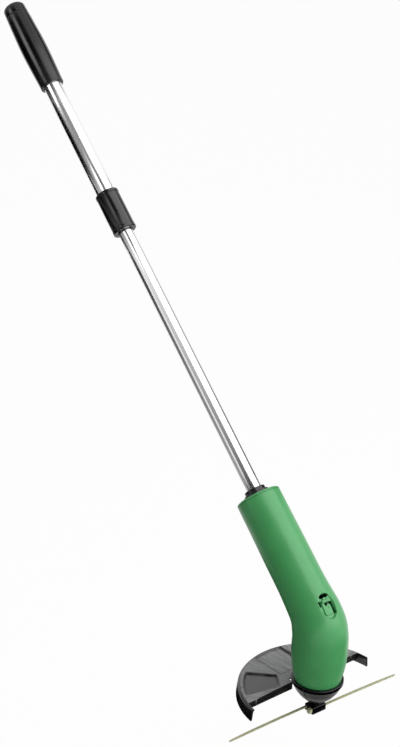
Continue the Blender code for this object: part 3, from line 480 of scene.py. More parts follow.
class Shader:
    """A material in the making, with its Principled shader and its node tree at hand."""

    def __init__(self, name: str) -> None:
        """Start a material of that name.

        Args:
            name: the material's name.
        """
        self.material = bpy.data.materials.new(name)
        self.material.use_nodes = True
        self.tree = self.material.node_tree
        self.surface = self.tree.nodes["Principled BSDF"]
        self.output = self.tree.nodes["Material Output"]

    def node(self, kind: str, **values: object) -> bpy.types.Node:
        """Add a node.

        Args:
            kind: the node's type.
            values: its sockets, with _ for a space, or its own settings.

        Returns:
            The node.
        """
        made = self.tree.nodes.new(kind)
        for key, value in values.items():
            socket = made.inputs.get(key.replace("_", " "))
            if socket is None:
                setattr(made, key, value)
            else:
                socket.default_value = value
        return made

    def link(self, source: Socket, target: Socket) -> None:
        """Run a link from one socket to another."""
        self.tree.links.new(source, target)

    def place(self, stretch: float = 1.0, lean: float = 0.0) -> Socket:
        """Return object coordinates, stretched along Z after a turn about X by lean.

        Args:
            stretch: how much longer patterns get along Z.
            lean: the turn about X, in radians.

        Returns:
            The coordinates.
        """
        source = self.node("ShaderNodeTexCoord")
        mapping = self.node("ShaderNodeMapping", vector_type="TEXTURE", Rotation=(lean, 0.0, 0.0),
                            Scale=(1.0, 1.0, stretch))
        self.link(source.outputs["Object"], mapping.inputs["Vector"])
        return mapping.outputs["Vector"]

    def noise(self, where: Socket, size: float, detail: float = 4.0) -> Socket:
        """Return a noise whose patches are about size metres wide.

        Args:
            where: the coordinates.
            size: the width of a patch.
            detail: how many finer layers it has.

        Returns:
            The noise, from 0 to 1.
        """
        made = self.node("ShaderNodeTexNoise", Scale=1.0 / size, Detail=detail, Roughness=NOISE_ROUGHNESS)
        self.link(where, made.inputs["Vector"])
        return made.outputs["Fac"]

    def spread(self, value: Socket, low: float, high: float) -> Socket:
        """Return a noise spread between two values.

        Args:
            value: the noise.
            low: what its low parts become.
            high: what its high parts become.

        Returns:
            The spread value.
        """
        start, stop = NOISE_RANGE
        made = self.node("ShaderNodeMapRange", From_Min=start, From_Max=stop, To_Min=low, To_Max=high)
        self.link(value, made.inputs["Value"])
        return made.outputs["Result"]

    def gloss(self, value: Socket, roughness: float,
              shares: Pair = GLOSS_SPREAD) -> None:
        """Spread the surface's roughness by a noise, between two shares of its mean."""
        low, high = (roughness * share for share in shares)
        self.link(self.spread(value, low, high), self.surface.inputs["Roughness"])

    def shades(self, value: Socket, stops: list[tuple[float, Colour]]) -> None:
        """Colour the surface by a value, through stops of (value, colour).

        Args:
            value: what the colour goes by.
            stops: pairs of (value, colour), in rising order.
        """
        ramp = self.node("ShaderNodeValToRGB")
        band = ramp.color_ramp
        for k, (spot, colour) in enumerate(stops):
            stop = band.elements[k] if k < 2 else band.elements.new(spot)
            stop.position = spot
            stop.color = (*colour, 1.0)
        self.link(value, ramp.inputs["Fac"])
        self.link(ramp.outputs["Color"], self.surface.inputs["Base Color"])

    def cloud(self, value: Socket, colour: Colour, low: float, high: float) -> None:
        """Colour the surface by a noise, between a darker and a lighter tint of one colour."""
        start, stop = NOISE_RANGE
        self.shades(value, [(start, tinted(colour, low)), (stop, tinted(colour, high))])

    def bump(self, value: Socket, depth: float) -> None:
        """Raise the surface by a value times depth, in metres.

        Args:
            value: the height, from 0 to 1.
            depth: how far 1 stands out, in metres.
        """
        made = self.node("ShaderNodeBump", Strength=1.0, Distance=depth)
        self.link(value, made.inputs["Height"])
        self.link(made.outputs["Normal"], self.surface.inputs["Normal"])

    def fix(self, **values: object) -> None:
        """Give sockets of the surface plain values, with _ for a space in a socket's name."""
        for key, value in values.items():
            self.surface.inputs[key.replace("_", " ")].default_value = value


def tinted(colour: Colour, factor: float) -> Colour:
    """Return a colour made lighter or darker by a factor."""
    return tuple(min(1.0, c * factor) for c in colour)


@dataclass(frozen=True)
class Moulding:
    """A moulded plastic: a slightly cloudy colour, a fine grain and an uneven gloss."""

    name: str
    colour: Colour
    roughness: float
    mottle: float = 0.05
    grain: float = 0.0006
    grain_depth: float = 0.00001
    cloud: float = 0.02

    def material(self) -> bpy.types.Material:
        """Return the finish as a material.

        Returns:
            The material.
        """
        shader = Shader(self.name)
        where = shader.place()
        cloudy = shader.noise(where, self.cloud)
        shader.cloud(cloudy, self.colour, 1.0 - self.mottle, 1.0 + self.mottle)
        shader.gloss(cloudy, self.roughness)
        shader.bump(shader.noise(where, self.grain), self.grain_depth)
        return shader.material


@dataclass(frozen=True)
class Drawn:
    """A drawn metal: fine streaks that run along the piece, in its gloss and its surface."""

    name: str
    colour: Colour
    roughness: float
    lean: float = 0.0
    streak: float = 0.0009
    stretch: float = 60.0
    depth: float = 0.0000001
    tints: Pair = (0.95, 1.04)

    def material(self) -> bpy.types.Material:
        """Return the finish as a material.

        Returns:
            The material.
        """
        shader = Shader(self.name)
        streaks = shader.noise(shader.place(self.stretch, self.lean), self.streak)
        shader.cloud(streaks, self.colour, *self.tints)
        shader.gloss(streaks, self.roughness)
        shader.bump(streaks, self.depth)
        shader.fix(Metallic=1.0)
        return shader.material


@dataclass(frozen=True)
class ShadePaintedRelief:
    """A moulding whose raised face, steps and sunk panels differ in painted light and tone, told apart by a
    mesh attribute.

    The attribute's first number is 0 on the raised face, 0.5 on steps and side walls, and 1 in
    the panels. The raised face is painted lighter, a painted sheen; steps and side walls are
    painted near black, a painted shade; the panels have a darker tone. The other two are the
    angle about the middle and the distance from it, by which light streaks run outwards over
    the painted sheen. A streak adds up to streak_share to the first number, and edges are the
    numbers at which the walls start, end, and turn to panels.
    """

    name: str
    attribute: str
    # raised is the colour of a painted sheen, wall the colour of a painted shade near black, panel the sunk
    # panels' tone.
    raised: Colour
    wall: Colour
    panel: Colour
    roughness: float
    specular: float
    streaks: Triple = (0.0, 26.0, 3.0)
    streak_share: float = 0.3
    tints: Pair = (1.9, 0.5)
    edges: Triple = (0.42, 0.8, 0.86)
    cloud: float = 0.02
    grain: float = 0.0009
    grain_depth: float = 0.00003

    def material(self) -> bpy.types.Material:
        """Return the finish as a material.

        Returns:
            The material.
        """
        shader = Shader(self.name)
        level = shader.node("ShaderNodeAttribute", attribute_name=self.attribute)
        parts = shader.node("ShaderNodeSeparateXYZ")
        shader.link(level.outputs["Vector"], parts.inputs[0])
        round_middle = shader.node("ShaderNodeMapping", Scale=self.streaks)
        shader.link(level.outputs["Vector"], round_middle.inputs["Vector"])
        streaky = shader.noise(round_middle.outputs["Vector"], 1.0, 2.0)
        tone = shader.node("ShaderNodeMath", operation="ADD")
        shader.link(parts.outputs["X"], tone.inputs[0])
        shader.link(shader.spread(streaky, 0.0, self.streak_share), tone.inputs[1])
        # Painted light: the raised face is painted lighter as a sheen, with lighter and darker streaks;
        # steps, walls and skirt are painted near black as shade.
        light, dark = (tinted(self.raised, tint) for tint in self.tints)
        wall, wall_end, panel = self.edges
        shader.shades(tone.outputs[0], [(0.0, light), (self.streak_share, dark), (wall, self.wall),
                                        (wall_end, self.wall), (panel, self.panel)])
        where = shader.place()
        shader.gloss(shader.noise(where, self.cloud), self.roughness)
        shader.bump(shader.noise(where, self.grain), self.grain_depth)
        shader.fix(Specular_IOR_Level=self.specular)
        return shader.material


@dataclass(frozen=True)
class Banded:
    """A wound or printed surface: plain bands along one direction of the piece.

    The wave texture repeats every pi / (10 scale) metres, so its scale is pi / (10 band).
    """

    name: str
    colours: tuple[Colour, Colour]
    roughness: float
    metallic: float
    band: float
    lean: float = 0.0
    edges: Pair = (0.35, 0.65)
    waver: float = 0.4
    raised_share: float = 0.2

    def material(self) -> bpy.types.Material:
        """Return the finish as a material.

        Returns:
            The material.
        """
        shader = Shader(self.name)
        where = shader.place(lean=self.lean)
        wave = shader.node("ShaderNodeTexWave", bands_direction="Z", Scale=math.pi / 10.0 / self.band,
                           Distortion=self.waver, Detail=2.0)
        shader.link(where, wave.inputs["Vector"])
        shader.shades(wave.outputs["Fac"], list(zip(self.edges, self.colours)))
        shader.bump(wave.outputs["Fac"], self.band * self.raised_share)
        shader.fix(Roughness=self.roughness, Metallic=self.metallic)
        return shader.material


@dataclass(frozen=True)
class Clear:
    """Natural nylon: pale, a little cloudy, and lit from within."""

    name: str
    colour: Colour
    roughness: float
    depth: float
    cloud: float = 0.006
    tints: Pair = (0.93, 1.05)
    gloss_shares: Pair = (0.9, 1.15)
    grain: float = 0.0008
    grain_depth: float = 0.00001
    inner_share: float = 0.5
    inner_reach: Colour = (1.0, 0.9, 0.5)

    def material(self) -> bpy.types.Material:
        """Return the finish as a material.

        Returns:
            The material.
        """
        shader = Shader(self.name)
        where = shader.place()
        cloudy = shader.noise(where, self.cloud)
        shader.cloud(cloudy, self.colour, *self.tints)
        shader.gloss(cloudy, self.roughness, self.gloss_shares)
        shader.bump(shader.noise(where, self.grain), self.grain_depth)
        shader.fix(Subsurface_Weight=self.inner_share, Subsurface_Radius=self.inner_reach,
                   Subsurface_Scale=self.depth)
        return shader.material


@dataclass(frozen=True)
class Finishes:
    """Every finish of the trimmer, each with the record's slot that it stands for."""

    lean: float

    def made(self) -> dict[Slot, bpy.types.Material]:
        """Return the materials by slot.

        Returns:
            The material of each slot.
        """
        finishes = {
            Slot.GREEN: Moulding("green_moulding", (0.07, 0.36, 0.115), 0.3, mottle=0.04),
            Slot.BLACK: Moulding("black_moulding", (0.003, 0.003, 0.004), 0.18, mottle=0.1, grain=0.0009,
                                 grain_depth=0.00003),
            # The guard's colours paint its light: a lighter painted sheen on its raised face, and near-black
            # painted shade on its walls, lip and skirt.
            Slot.GUARD: ShadePaintedRelief("guard_moulding", RELIEF, raised=(0.17, 0.17, 0.173),
                               wall=(0.005, 0.005, 0.006), panel=(0.03, 0.03, 0.032), roughness=0.28,
                               specular=1.0),
            Slot.GRIP: Moulding("grip_sleeve", (0.003, 0.003, 0.004), 0.18, mottle=0.15, grain=0.0012,
                                grain_depth=0.00006),
            Slot.TUBE: Drawn("bright_tube", (0.88, 0.88, 0.89), 0.2, self.lean),
            Slot.STEEL: Drawn("steel", (0.5, 0.5, 0.51), 0.34, stretch=1.0, streak=0.0015),
            Slot.MAGNET: Moulding("magnet", (0.06, 0.06, 0.065), 0.55, mottle=0.15, grain=0.0004),
            Slot.WINDING: Banded("copper_winding", ((0.5, 0.18, 0.07), (0.72, 0.33, 0.15)), 0.35, 0.9,
                                 0.0008),
            Slot.BRASS: Drawn("brass", (0.68, 0.5, 0.22), 0.3, stretch=1.0, streak=0.0015),
            Slot.CELL: Banded("cell_sleeve", ((0.02, 0.045, 0.16), (0.03, 0.07, 0.24)), 0.3, 0.0, 0.012,
                              self.lean),
            Slot.WHITE: Moulding("white_plastic", (0.62, 0.62, 0.59), 0.4, mottle=0.03),
            Slot.NYLON: Clear("nylon_strip", (0.5, 0.5, 0.32), 0.34, depth=0.001),
            Slot.RED: Moulding("red_wire", (0.42, 0.02, 0.018), 0.38, mottle=0.06),
        }
        return {slot: finish.material() for slot, finish in finishes.items()}


# Making pieces

class Bench:
    """Where skins become objects: it holds the frames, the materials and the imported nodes."""

    def __init__(self, frame: dict) -> None:
        """Read the trimmer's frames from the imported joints.
        """
        joints = {joint["name"]: joint for joint in frame["joints"]}
        self.nodes = frame["nodes"]
        self.pole_axis = np.array(joints["pole_slide"]["axis"], float)
        self.lean = math.atan2(-self.pole_axis[1], self.pole_axis[2])
        rotor = np.array(joints["rotor_spin"]["pos_m"], float)
        elbow = self.pole_axis * rotor[1] / self.pole_axis[1]
        across = np.array([1.0, 0.0, 0.0])
        self.head = Place(rotor, across, np.array([0.0, 1.0, 0.0]), np.array([0.0, 0.0, 1.0]))
        self.pole = Place(elbow, across, np.cross(self.pole_axis, across), self.pole_axis)
        self.elbow_height = float(elbow[2] - rotor[2]) / MM
        self.materials = Finishes(self.lean).made()

    def mesh(self, name: str, skin: Skin, place: Place) -> Mesh:
        """Turn a skin into a clean mesh in the world.

        Points that coincide at seams and poles are merged, and the faces are made to point out.

        Args:
            name: the mesh's name.
            skin: the surface.
            place: the frame in which it is drawn.

        Returns:
            The mesh.
        """
        mesh = bpy.data.meshes.new(name)
        mesh.from_pydata(place.world(skin.points), [], skin.faces.tolist())
        work = bmesh.new()
        work.from_mesh(mesh)
        bmesh.ops.remove_doubles(work, verts=work.verts, dist=MERGE)
        bmesh.ops.dissolve_degenerate(work, edges=work.edges, dist=MERGE)
        bmesh.ops.recalc_face_normals(work, faces=work.faces)
        work.to_mesh(mesh)
        work.free()
        return mesh

    def combine(self, mesh: Mesh, skin: Skin, place: Place, how: Join) -> Mesh:
        """Add a closed skin to a mesh, or cut it out of the mesh.

        Args:
            mesh: the mesh worked on.
            skin: the other shape.
            place: the frame in which that shape is drawn.
            how: whether it is added or cut out.

        Returns:
            The new mesh, which takes the old one's name.
        """
        name = mesh.name
        piece = bpy.data.objects.new("work", mesh)
        tool = bpy.data.objects.new("tool", self.mesh("tool", skin, place))
        for made in (piece, tool):
            bpy.context.scene.collection.objects.link(made)
        modifier = piece.modifiers.new("combine", "BOOLEAN")
        modifier.operation = how.value
        modifier.object = tool
        modifier.solver = "EXACT"
        graph = bpy.context.evaluated_depsgraph_get()
        result = bpy.data.meshes.new_from_object(piece.evaluated_get(graph))
        tool_mesh = tool.data
        bpy.data.objects.remove(piece)
        bpy.data.objects.remove(tool)
        bpy.data.meshes.remove(tool_mesh)
        bpy.data.meshes.remove(mesh)
        result.name = name
        return result

    def piece(self, mesh: Mesh, body: Body, slot: Slot, *replaced: str,
              sharp: float = 38.0) -> bpy.types.Object:
        """Make a finished piece of a mesh: shade it, dress it, and let it ride on its body.

        Args:
            mesh: the mesh, in the world.
            body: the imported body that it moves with.
            slot: the material slot that it takes its finish from.
            replaced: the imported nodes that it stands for.
            sharp: edges that bend more than this many degrees stay sharp.

        Returns:
            The object.
        """
        mesh.materials.clear()
        mesh.materials.append(self.materials[slot])
        mesh.shade_smooth()
        mesh.set_sharp_from_angle(angle=math.radians(sharp))
        made = bpy.data.objects.new(mesh.name, mesh)
        bpy.context.scene.collection.objects.link(made)
        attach(made, body.value)
        if replaced:
            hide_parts(*replaced)
        log.info("%s: %d faces, rides on %s", made.name, len(mesh.polygons), body.value)
        return made

    def dress(self, slot: Slot, *names: str) -> None:
        """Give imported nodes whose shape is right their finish.

        Args:
            slot: the material slot.
            names: the nodes.
        """
        for name in names:
            node = self.nodes[name]
            node.data.materials.clear()
            node.data.materials.append(self.materials[slot])
            log.info("%s: dressed in %s", name, slot.value)


# Pole, collar and grip

@dataclass(frozen=True)
class Pole:
    """The telescopic pole: a thin tube that slides in a wider one, with the lock between them."""

    lower_radius: float = 9.6
    lower_span: Pair = (121.0, 594.5)
    upper_radius: float = 12.1
    upper_span: Pair = (551.5, 874.5)
    wall: float = 1.1
    mouth: float = 0.3

    def tube(self, radius: float, span: Pair) -> Skin:
        """Turn a tube whose four rims are rounded.

        Args:
            radius: its outer radius.
            span: where it starts and ends along the pole.

        Returns:
            The skin.
        """
        low, high = span
        bore = radius - self.wall
        profile = rounded([(bore, high), (radius, high), (radius, low), (bore, low)], self.mouth)
        return lathe(profile, ROUND_STEPS)

    def build(self, bench: Bench) -> None:
        """Make both tubes and dress the parts of the lock.

        Args:
            bench: where pieces are made and dressed.
        """
        for name, radius, span, body in (("lower_tube", self.lower_radius, self.lower_span, Body.HEAD),
                                         ("upper_tube", self.upper_radius, self.upper_span, Body.POLE)):
            mesh = bench.mesh(name + "_drawn", self.tube(radius, span), bench.pole)
            bench.piece(mesh, body, Slot.TUBE, name)
        bench.dress(Slot.BLACK, "slide_plug", "threaded_ferrule")
        bench.dress(Slot.WHITE, "locking_collet")


@dataclass(frozen=True)
class TwistLock:
    """The collar that clamps the pole: a barrel with a raised bead at each end."""

    span: Pair = (543.5, 600.5)
    radius: float = 15.1
    bead: float = 0.35
    bead_length: float = 4.0
    groove: float = 0.25
    groove_steps: Triple = (0.3, 0.9, 1.3)
    ferrule_bore: float = 13.5
    low_bore: float = 10.0
    high_bore: float = 12.5
    low_lip: float = 7.0
    high_lip: float = 5.0

    def build(self, bench: Bench) -> None:
        """Turn the collar; a fine groove sets each bead off from the barrel.

        The lower half of its outside is the upper half turned over.

        Args:
            bench: where pieces are made and dressed.
        """
        low, high = self.span
        wide = self.radius + self.bead
        deep = self.radius - self.groove
        near, floor, far = (high - self.bead_length - step for step in self.groove_steps)
        upper = [(wide, high), (wide, high - self.bead_length), (deep, near), (deep, floor),
                 (self.radius, far)]
        lower = [(r, low + high - z) for r, z in reversed(upper)]
        inside = [(self.low_bore, low), (self.low_bore, low + self.low_lip),
                  (self.ferrule_bore, low + self.low_lip), (self.ferrule_bore, high - self.high_lip),
                  (self.high_bore, high - self.high_lip)]
        bends = [1.3, 0.2, 0.15, 0.15, 0.3]
        radii = [0.6, *bends, *reversed(bends), 0.6, 0.1, 0.1, 0.1, 0.1]
        outline = rounded([(self.high_bore, high), *upper, *lower, *inside], radii)
        mesh = bench.mesh("twist_collar_turned", lathe(outline, ROUND_STEPS), bench.pole)
        bench.piece(mesh, Body.COLLAR, Slot.BLACK, "twist_collar")


@dataclass(frozen=True)
class Grip:
    """The hand grip: a soft sleeve that swells in the middle, closed by a plug with a round rim."""

    stations: tuple[Pair, ...] = (
        (768.5, 15.5), (774.5, 15.7), (788.0, 16.2), (805.5, 16.8), (824.5, 17.2), (841.0, 17.0),
        (857.5, 16.3), (875.0, 15.6), (882.0, 15.2))
    row_gap: float = 1.5
    bore: float = 12.4
    rim: float = 1.2
    cap_top: float = 897.0
    cap_radius: float = 15.1
    cap_taper: float = 0.5
    cap_round: float = 5.4
    cap_shoulder: float = 12.0
    cap_seat: float = 874.8
    cap_stem: float = 10.7
    cap_stem_bottom: float = 866.0
    gap: float = 0.3

    def build(self, bench: Bench) -> None:
        """Turn the sleeve and the plug.

        Args:
            bench: where pieces are made and dressed.
        """
        low = self.stations[0][0]
        high = self.stations[-1][0]
        heights = lines(low, high, self.row_gap, self.rim)
        edge = np.minimum(heights - low, high - heights)
        radii = through(list(self.stations), heights) - rim_drop(edge, self.rim)
        outside = np.stack([radii, heights], axis=1)
        inside = np.array([(self.bore, high), (self.bore, low)])
        sleeve = lathe(np.concatenate([outside, inside]), ROUND_STEPS)
        mesh = bench.mesh("grip_sleeve_moulded", sleeve, bench.pole)
        bench.piece(mesh, Body.POLE, Slot.GRIP, "grip_sleeve")
        foot = high + self.gap
        corners = [(0.0, self.cap_top), (self.cap_radius - self.cap_taper, self.cap_top),
                   (self.cap_radius, foot), (self.cap_shoulder, foot), (self.cap_shoulder, self.cap_seat),
                   (self.cap_stem, self.cap_seat), (self.cap_stem, self.cap_stem_bottom),
                   (0.0, self.cap_stem_bottom)]
        radii = [0.0, self.cap_round, 0.5, 0.1, 0.1, 0.1, 0.5, 0.0]
        cap = lathe(rounded(corners, radii, closed=False, steps=14), ROUND_STEPS, closed=False)
        mesh = bench.mesh("grip_end_cap_turned", cap, bench.pole)
        bench.piece(mesh, Body.POLE, Slot.BLACK, "grip_end_cap")


# Green body

@dataclass(frozen=True)
class Switch:
    """The slide switch outside the elbow: an oval recess with a ridged slider on its floor.

    The slider's parts are blocks, each with how high it stands above the slider's underside.
    """

    turn_deg: float = 40.0
    middle: Pair = (-2.5, 1.0)
    half_width: float = 11.0
    half_length: float = 17.0
    depth: float = 3.4
    wall_share: float = 0.16
    pad: float = 2.0
    pad_wider: float = 2.5
    openings: tuple[Block | Oval, ...] = (
        Block(-0.9, 3.3, 8.6, 3.4, 0.7), Block(4.9, -2.6, 3.4, 14.8, 0.7),
        Block(-10.8, 5.2, 2.8, 6.8, 0.7), Oval(-1.8, 12.8, 13.6, 5.8))
    opening_span: Pair = (-9.0, 2.0)
    plate: tuple[Block, float] = (Block(-3.2, -4.0, 11.4, 11.0, 2.4, 0.45), 1.2)
    bridge: tuple[Block, float] = (Block(-7.1, 3.0, 3.6, 6.0, 0.6, 0.3), 1.1)
    tab: tuple[Block, float] = (Block(-2.4, 9.5, 5.0, 3.4, 1.5, 0.3), 1.0)
    ridge: tuple[Block, float] = (Block(-2.9, 6.9, 12.0, 3.4, 1.3, 1.0), 3.2)
    stem: Block = Block(0.0, 1.5, 3.0, 3.0, 0.4, 0.3)
    stem_span: Pair = (-5.9, 0.5)
    dimple: Oval = Oval(-1.4, -1.6, 1.2, 1.6)
    dimple_span: Pair = (0.4, 2.0)
    gap: float = 0.3

    def place(self, shape: "BodyShape", bench: Bench) -> Place:
        """Return the switch's frame: up points out of the body, ahead up along the elbow.

        Args:
            shape: the body's surface.
            bench: where the frames are.

        Returns:
            The frame.
        """
        bend = math.radians(self.turn_deg)
        length = np.array(shape.upright + shape.elbow_radius * bend)
        spot = shape.surface(length, np.array(math.pi / 2.0), np.array(0.0))
        out = np.array([0.0, math.cos(bend), math.sin(bend)])
        ahead = np.array([0.0, -math.sin(bend), math.cos(bend)])
        return Place(bench.head.world(spot), np.cross(ahead, out), ahead, out)

    def press(self, grid: Array, place: Place, head: Place, depth: float, wider: float) -> Array:
        """Press the oval recess into a grid of the body's surface.

        With ring = sqrt((x/a)² + (y/b)²), points sink towards the floor by a smooth step that
        starts at ring 1 and is complete at ring 1 - wall_share.

        Args:
            grid: the body's points in the head's frame.
            place: the switch's frame.
            head: the head's frame.
            depth: how deep the floor lies.
            wider: how much is added to both half sizes of the oval.

        Returns:
            The pressed grid.
        """
        spots = place.local(head.world(grid.reshape(-1, 3)))
        x = spots[:, 0] - self.middle[0]
        y = spots[:, 1] - self.middle[1]
        ring = np.hypot(x / (self.half_width + wider), y / (self.half_length + wider))
        spots[:, 2] += (-depth - spots[:, 2]) * ease((1.0 - ring) / self.wall_share)
        return head.local(place.world(spots)).reshape(grid.shape)

    def build(self, bench: Bench, place: Place) -> None:
        """Make the slider: a plate, its thumb ridge above a gap, and its stem.

        Args:
            bench: where pieces are made and dressed.
            place: the switch's frame.
        """
        floor = -self.depth + self.gap
        block, high = self.plate
        mesh = bench.mesh("switch_slider_moulded", block.between(floor, floor + high), place)
        for block, high in (self.bridge, self.tab, self.ridge):
            mesh = bench.combine(mesh, block.between(floor, floor + high), place, Join.ADD)
        low, high = self.stem_span
        mesh = bench.combine(mesh, self.stem.between(floor + low, floor + high), place, Join.ADD)
        low, high = self.dimple_span
        mesh = bench.combine(mesh, self.dimple.between(floor + low, floor + high, 24), place, Join.CUT)
        bench.piece(mesh, Body.SLIDER, Slot.GREEN, "switch_slider")
        bench.dress(Slot.BLACK, "switch_block")


@dataclass(frozen=True)
class BodyShape:
    """The green body's surface: a centre line with an elbow, and a radius that changes along it."""

    lean: float
    elbow_height: float
    rim: float = 46.3
    elbow_radius: float = 50.0
    top: float = 164.2
    wall: float = 2.4
    stations: tuple[Pair, ...] = (
        (0.0, 28.2), (6.0, 29.4), (14.0, 31.0), (26.0, 32.6), (60.0, 32.8), (72.0, 32.3), (85.0, 30.8),
        (100.0, 29.6), (118.0, 28.6), (160.0, 28.2), (246.0, 27.5))

    @property
    def tangent(self) -> float:
        """How far before the elbow's corner its arc starts."""
        return self.elbow_radius * math.tan(self.lean / 2.0)

    @property
    def upright(self) -> float:
        """The length of the upright stretch above the rim."""
        return self.elbow_height - self.tangent - self.rim

    @property
    def total(self) -> float:
        """The length along the centre line from the rim to the top."""
        return self.station(self.top)

    def station(self, distance: float) -> float:
        """Return the length along the body that lies at a distance from the elbow on the pole."""
        return self.upright + self.elbow_radius * self.lean + distance - self.tangent

    def surface(self, length: Array, angle: Array, depth: Array) -> Array:
        """Return points of the body.

        The centre line runs up, round an arc of the elbow's radius, and on along the pole. A
        point lies at the local radius less its depth from it, at an angle round it that is 0
        towards +X and a quarter turn outside the elbow.

        Args:
            length: the length along the centre line.
            angle: the angle round it, in radians.
            depth: how deep the point lies under the surface.

        Returns:
            The points, in the head's frame.
        """
        bend = np.clip((length - self.upright) / self.elbow_radius, 0.0, self.lean)
        rest = np.maximum(length - self.station(self.tangent), 0.0)
        r = through(list(self.stations), length) - depth
        y = -self.elbow_radius * (1.0 - np.cos(bend)) - rest * math.sin(self.lean)
        z = (self.rim + np.minimum(length, self.upright) + self.elbow_radius * np.sin(bend)
             + rest * math.cos(self.lean))
        out = r * np.sin(angle)
        parts = np.broadcast_arrays(r * np.cos(angle), y + out * np.cos(bend), z + out * np.sin(bend))
        return np.stack(parts, axis=-1)


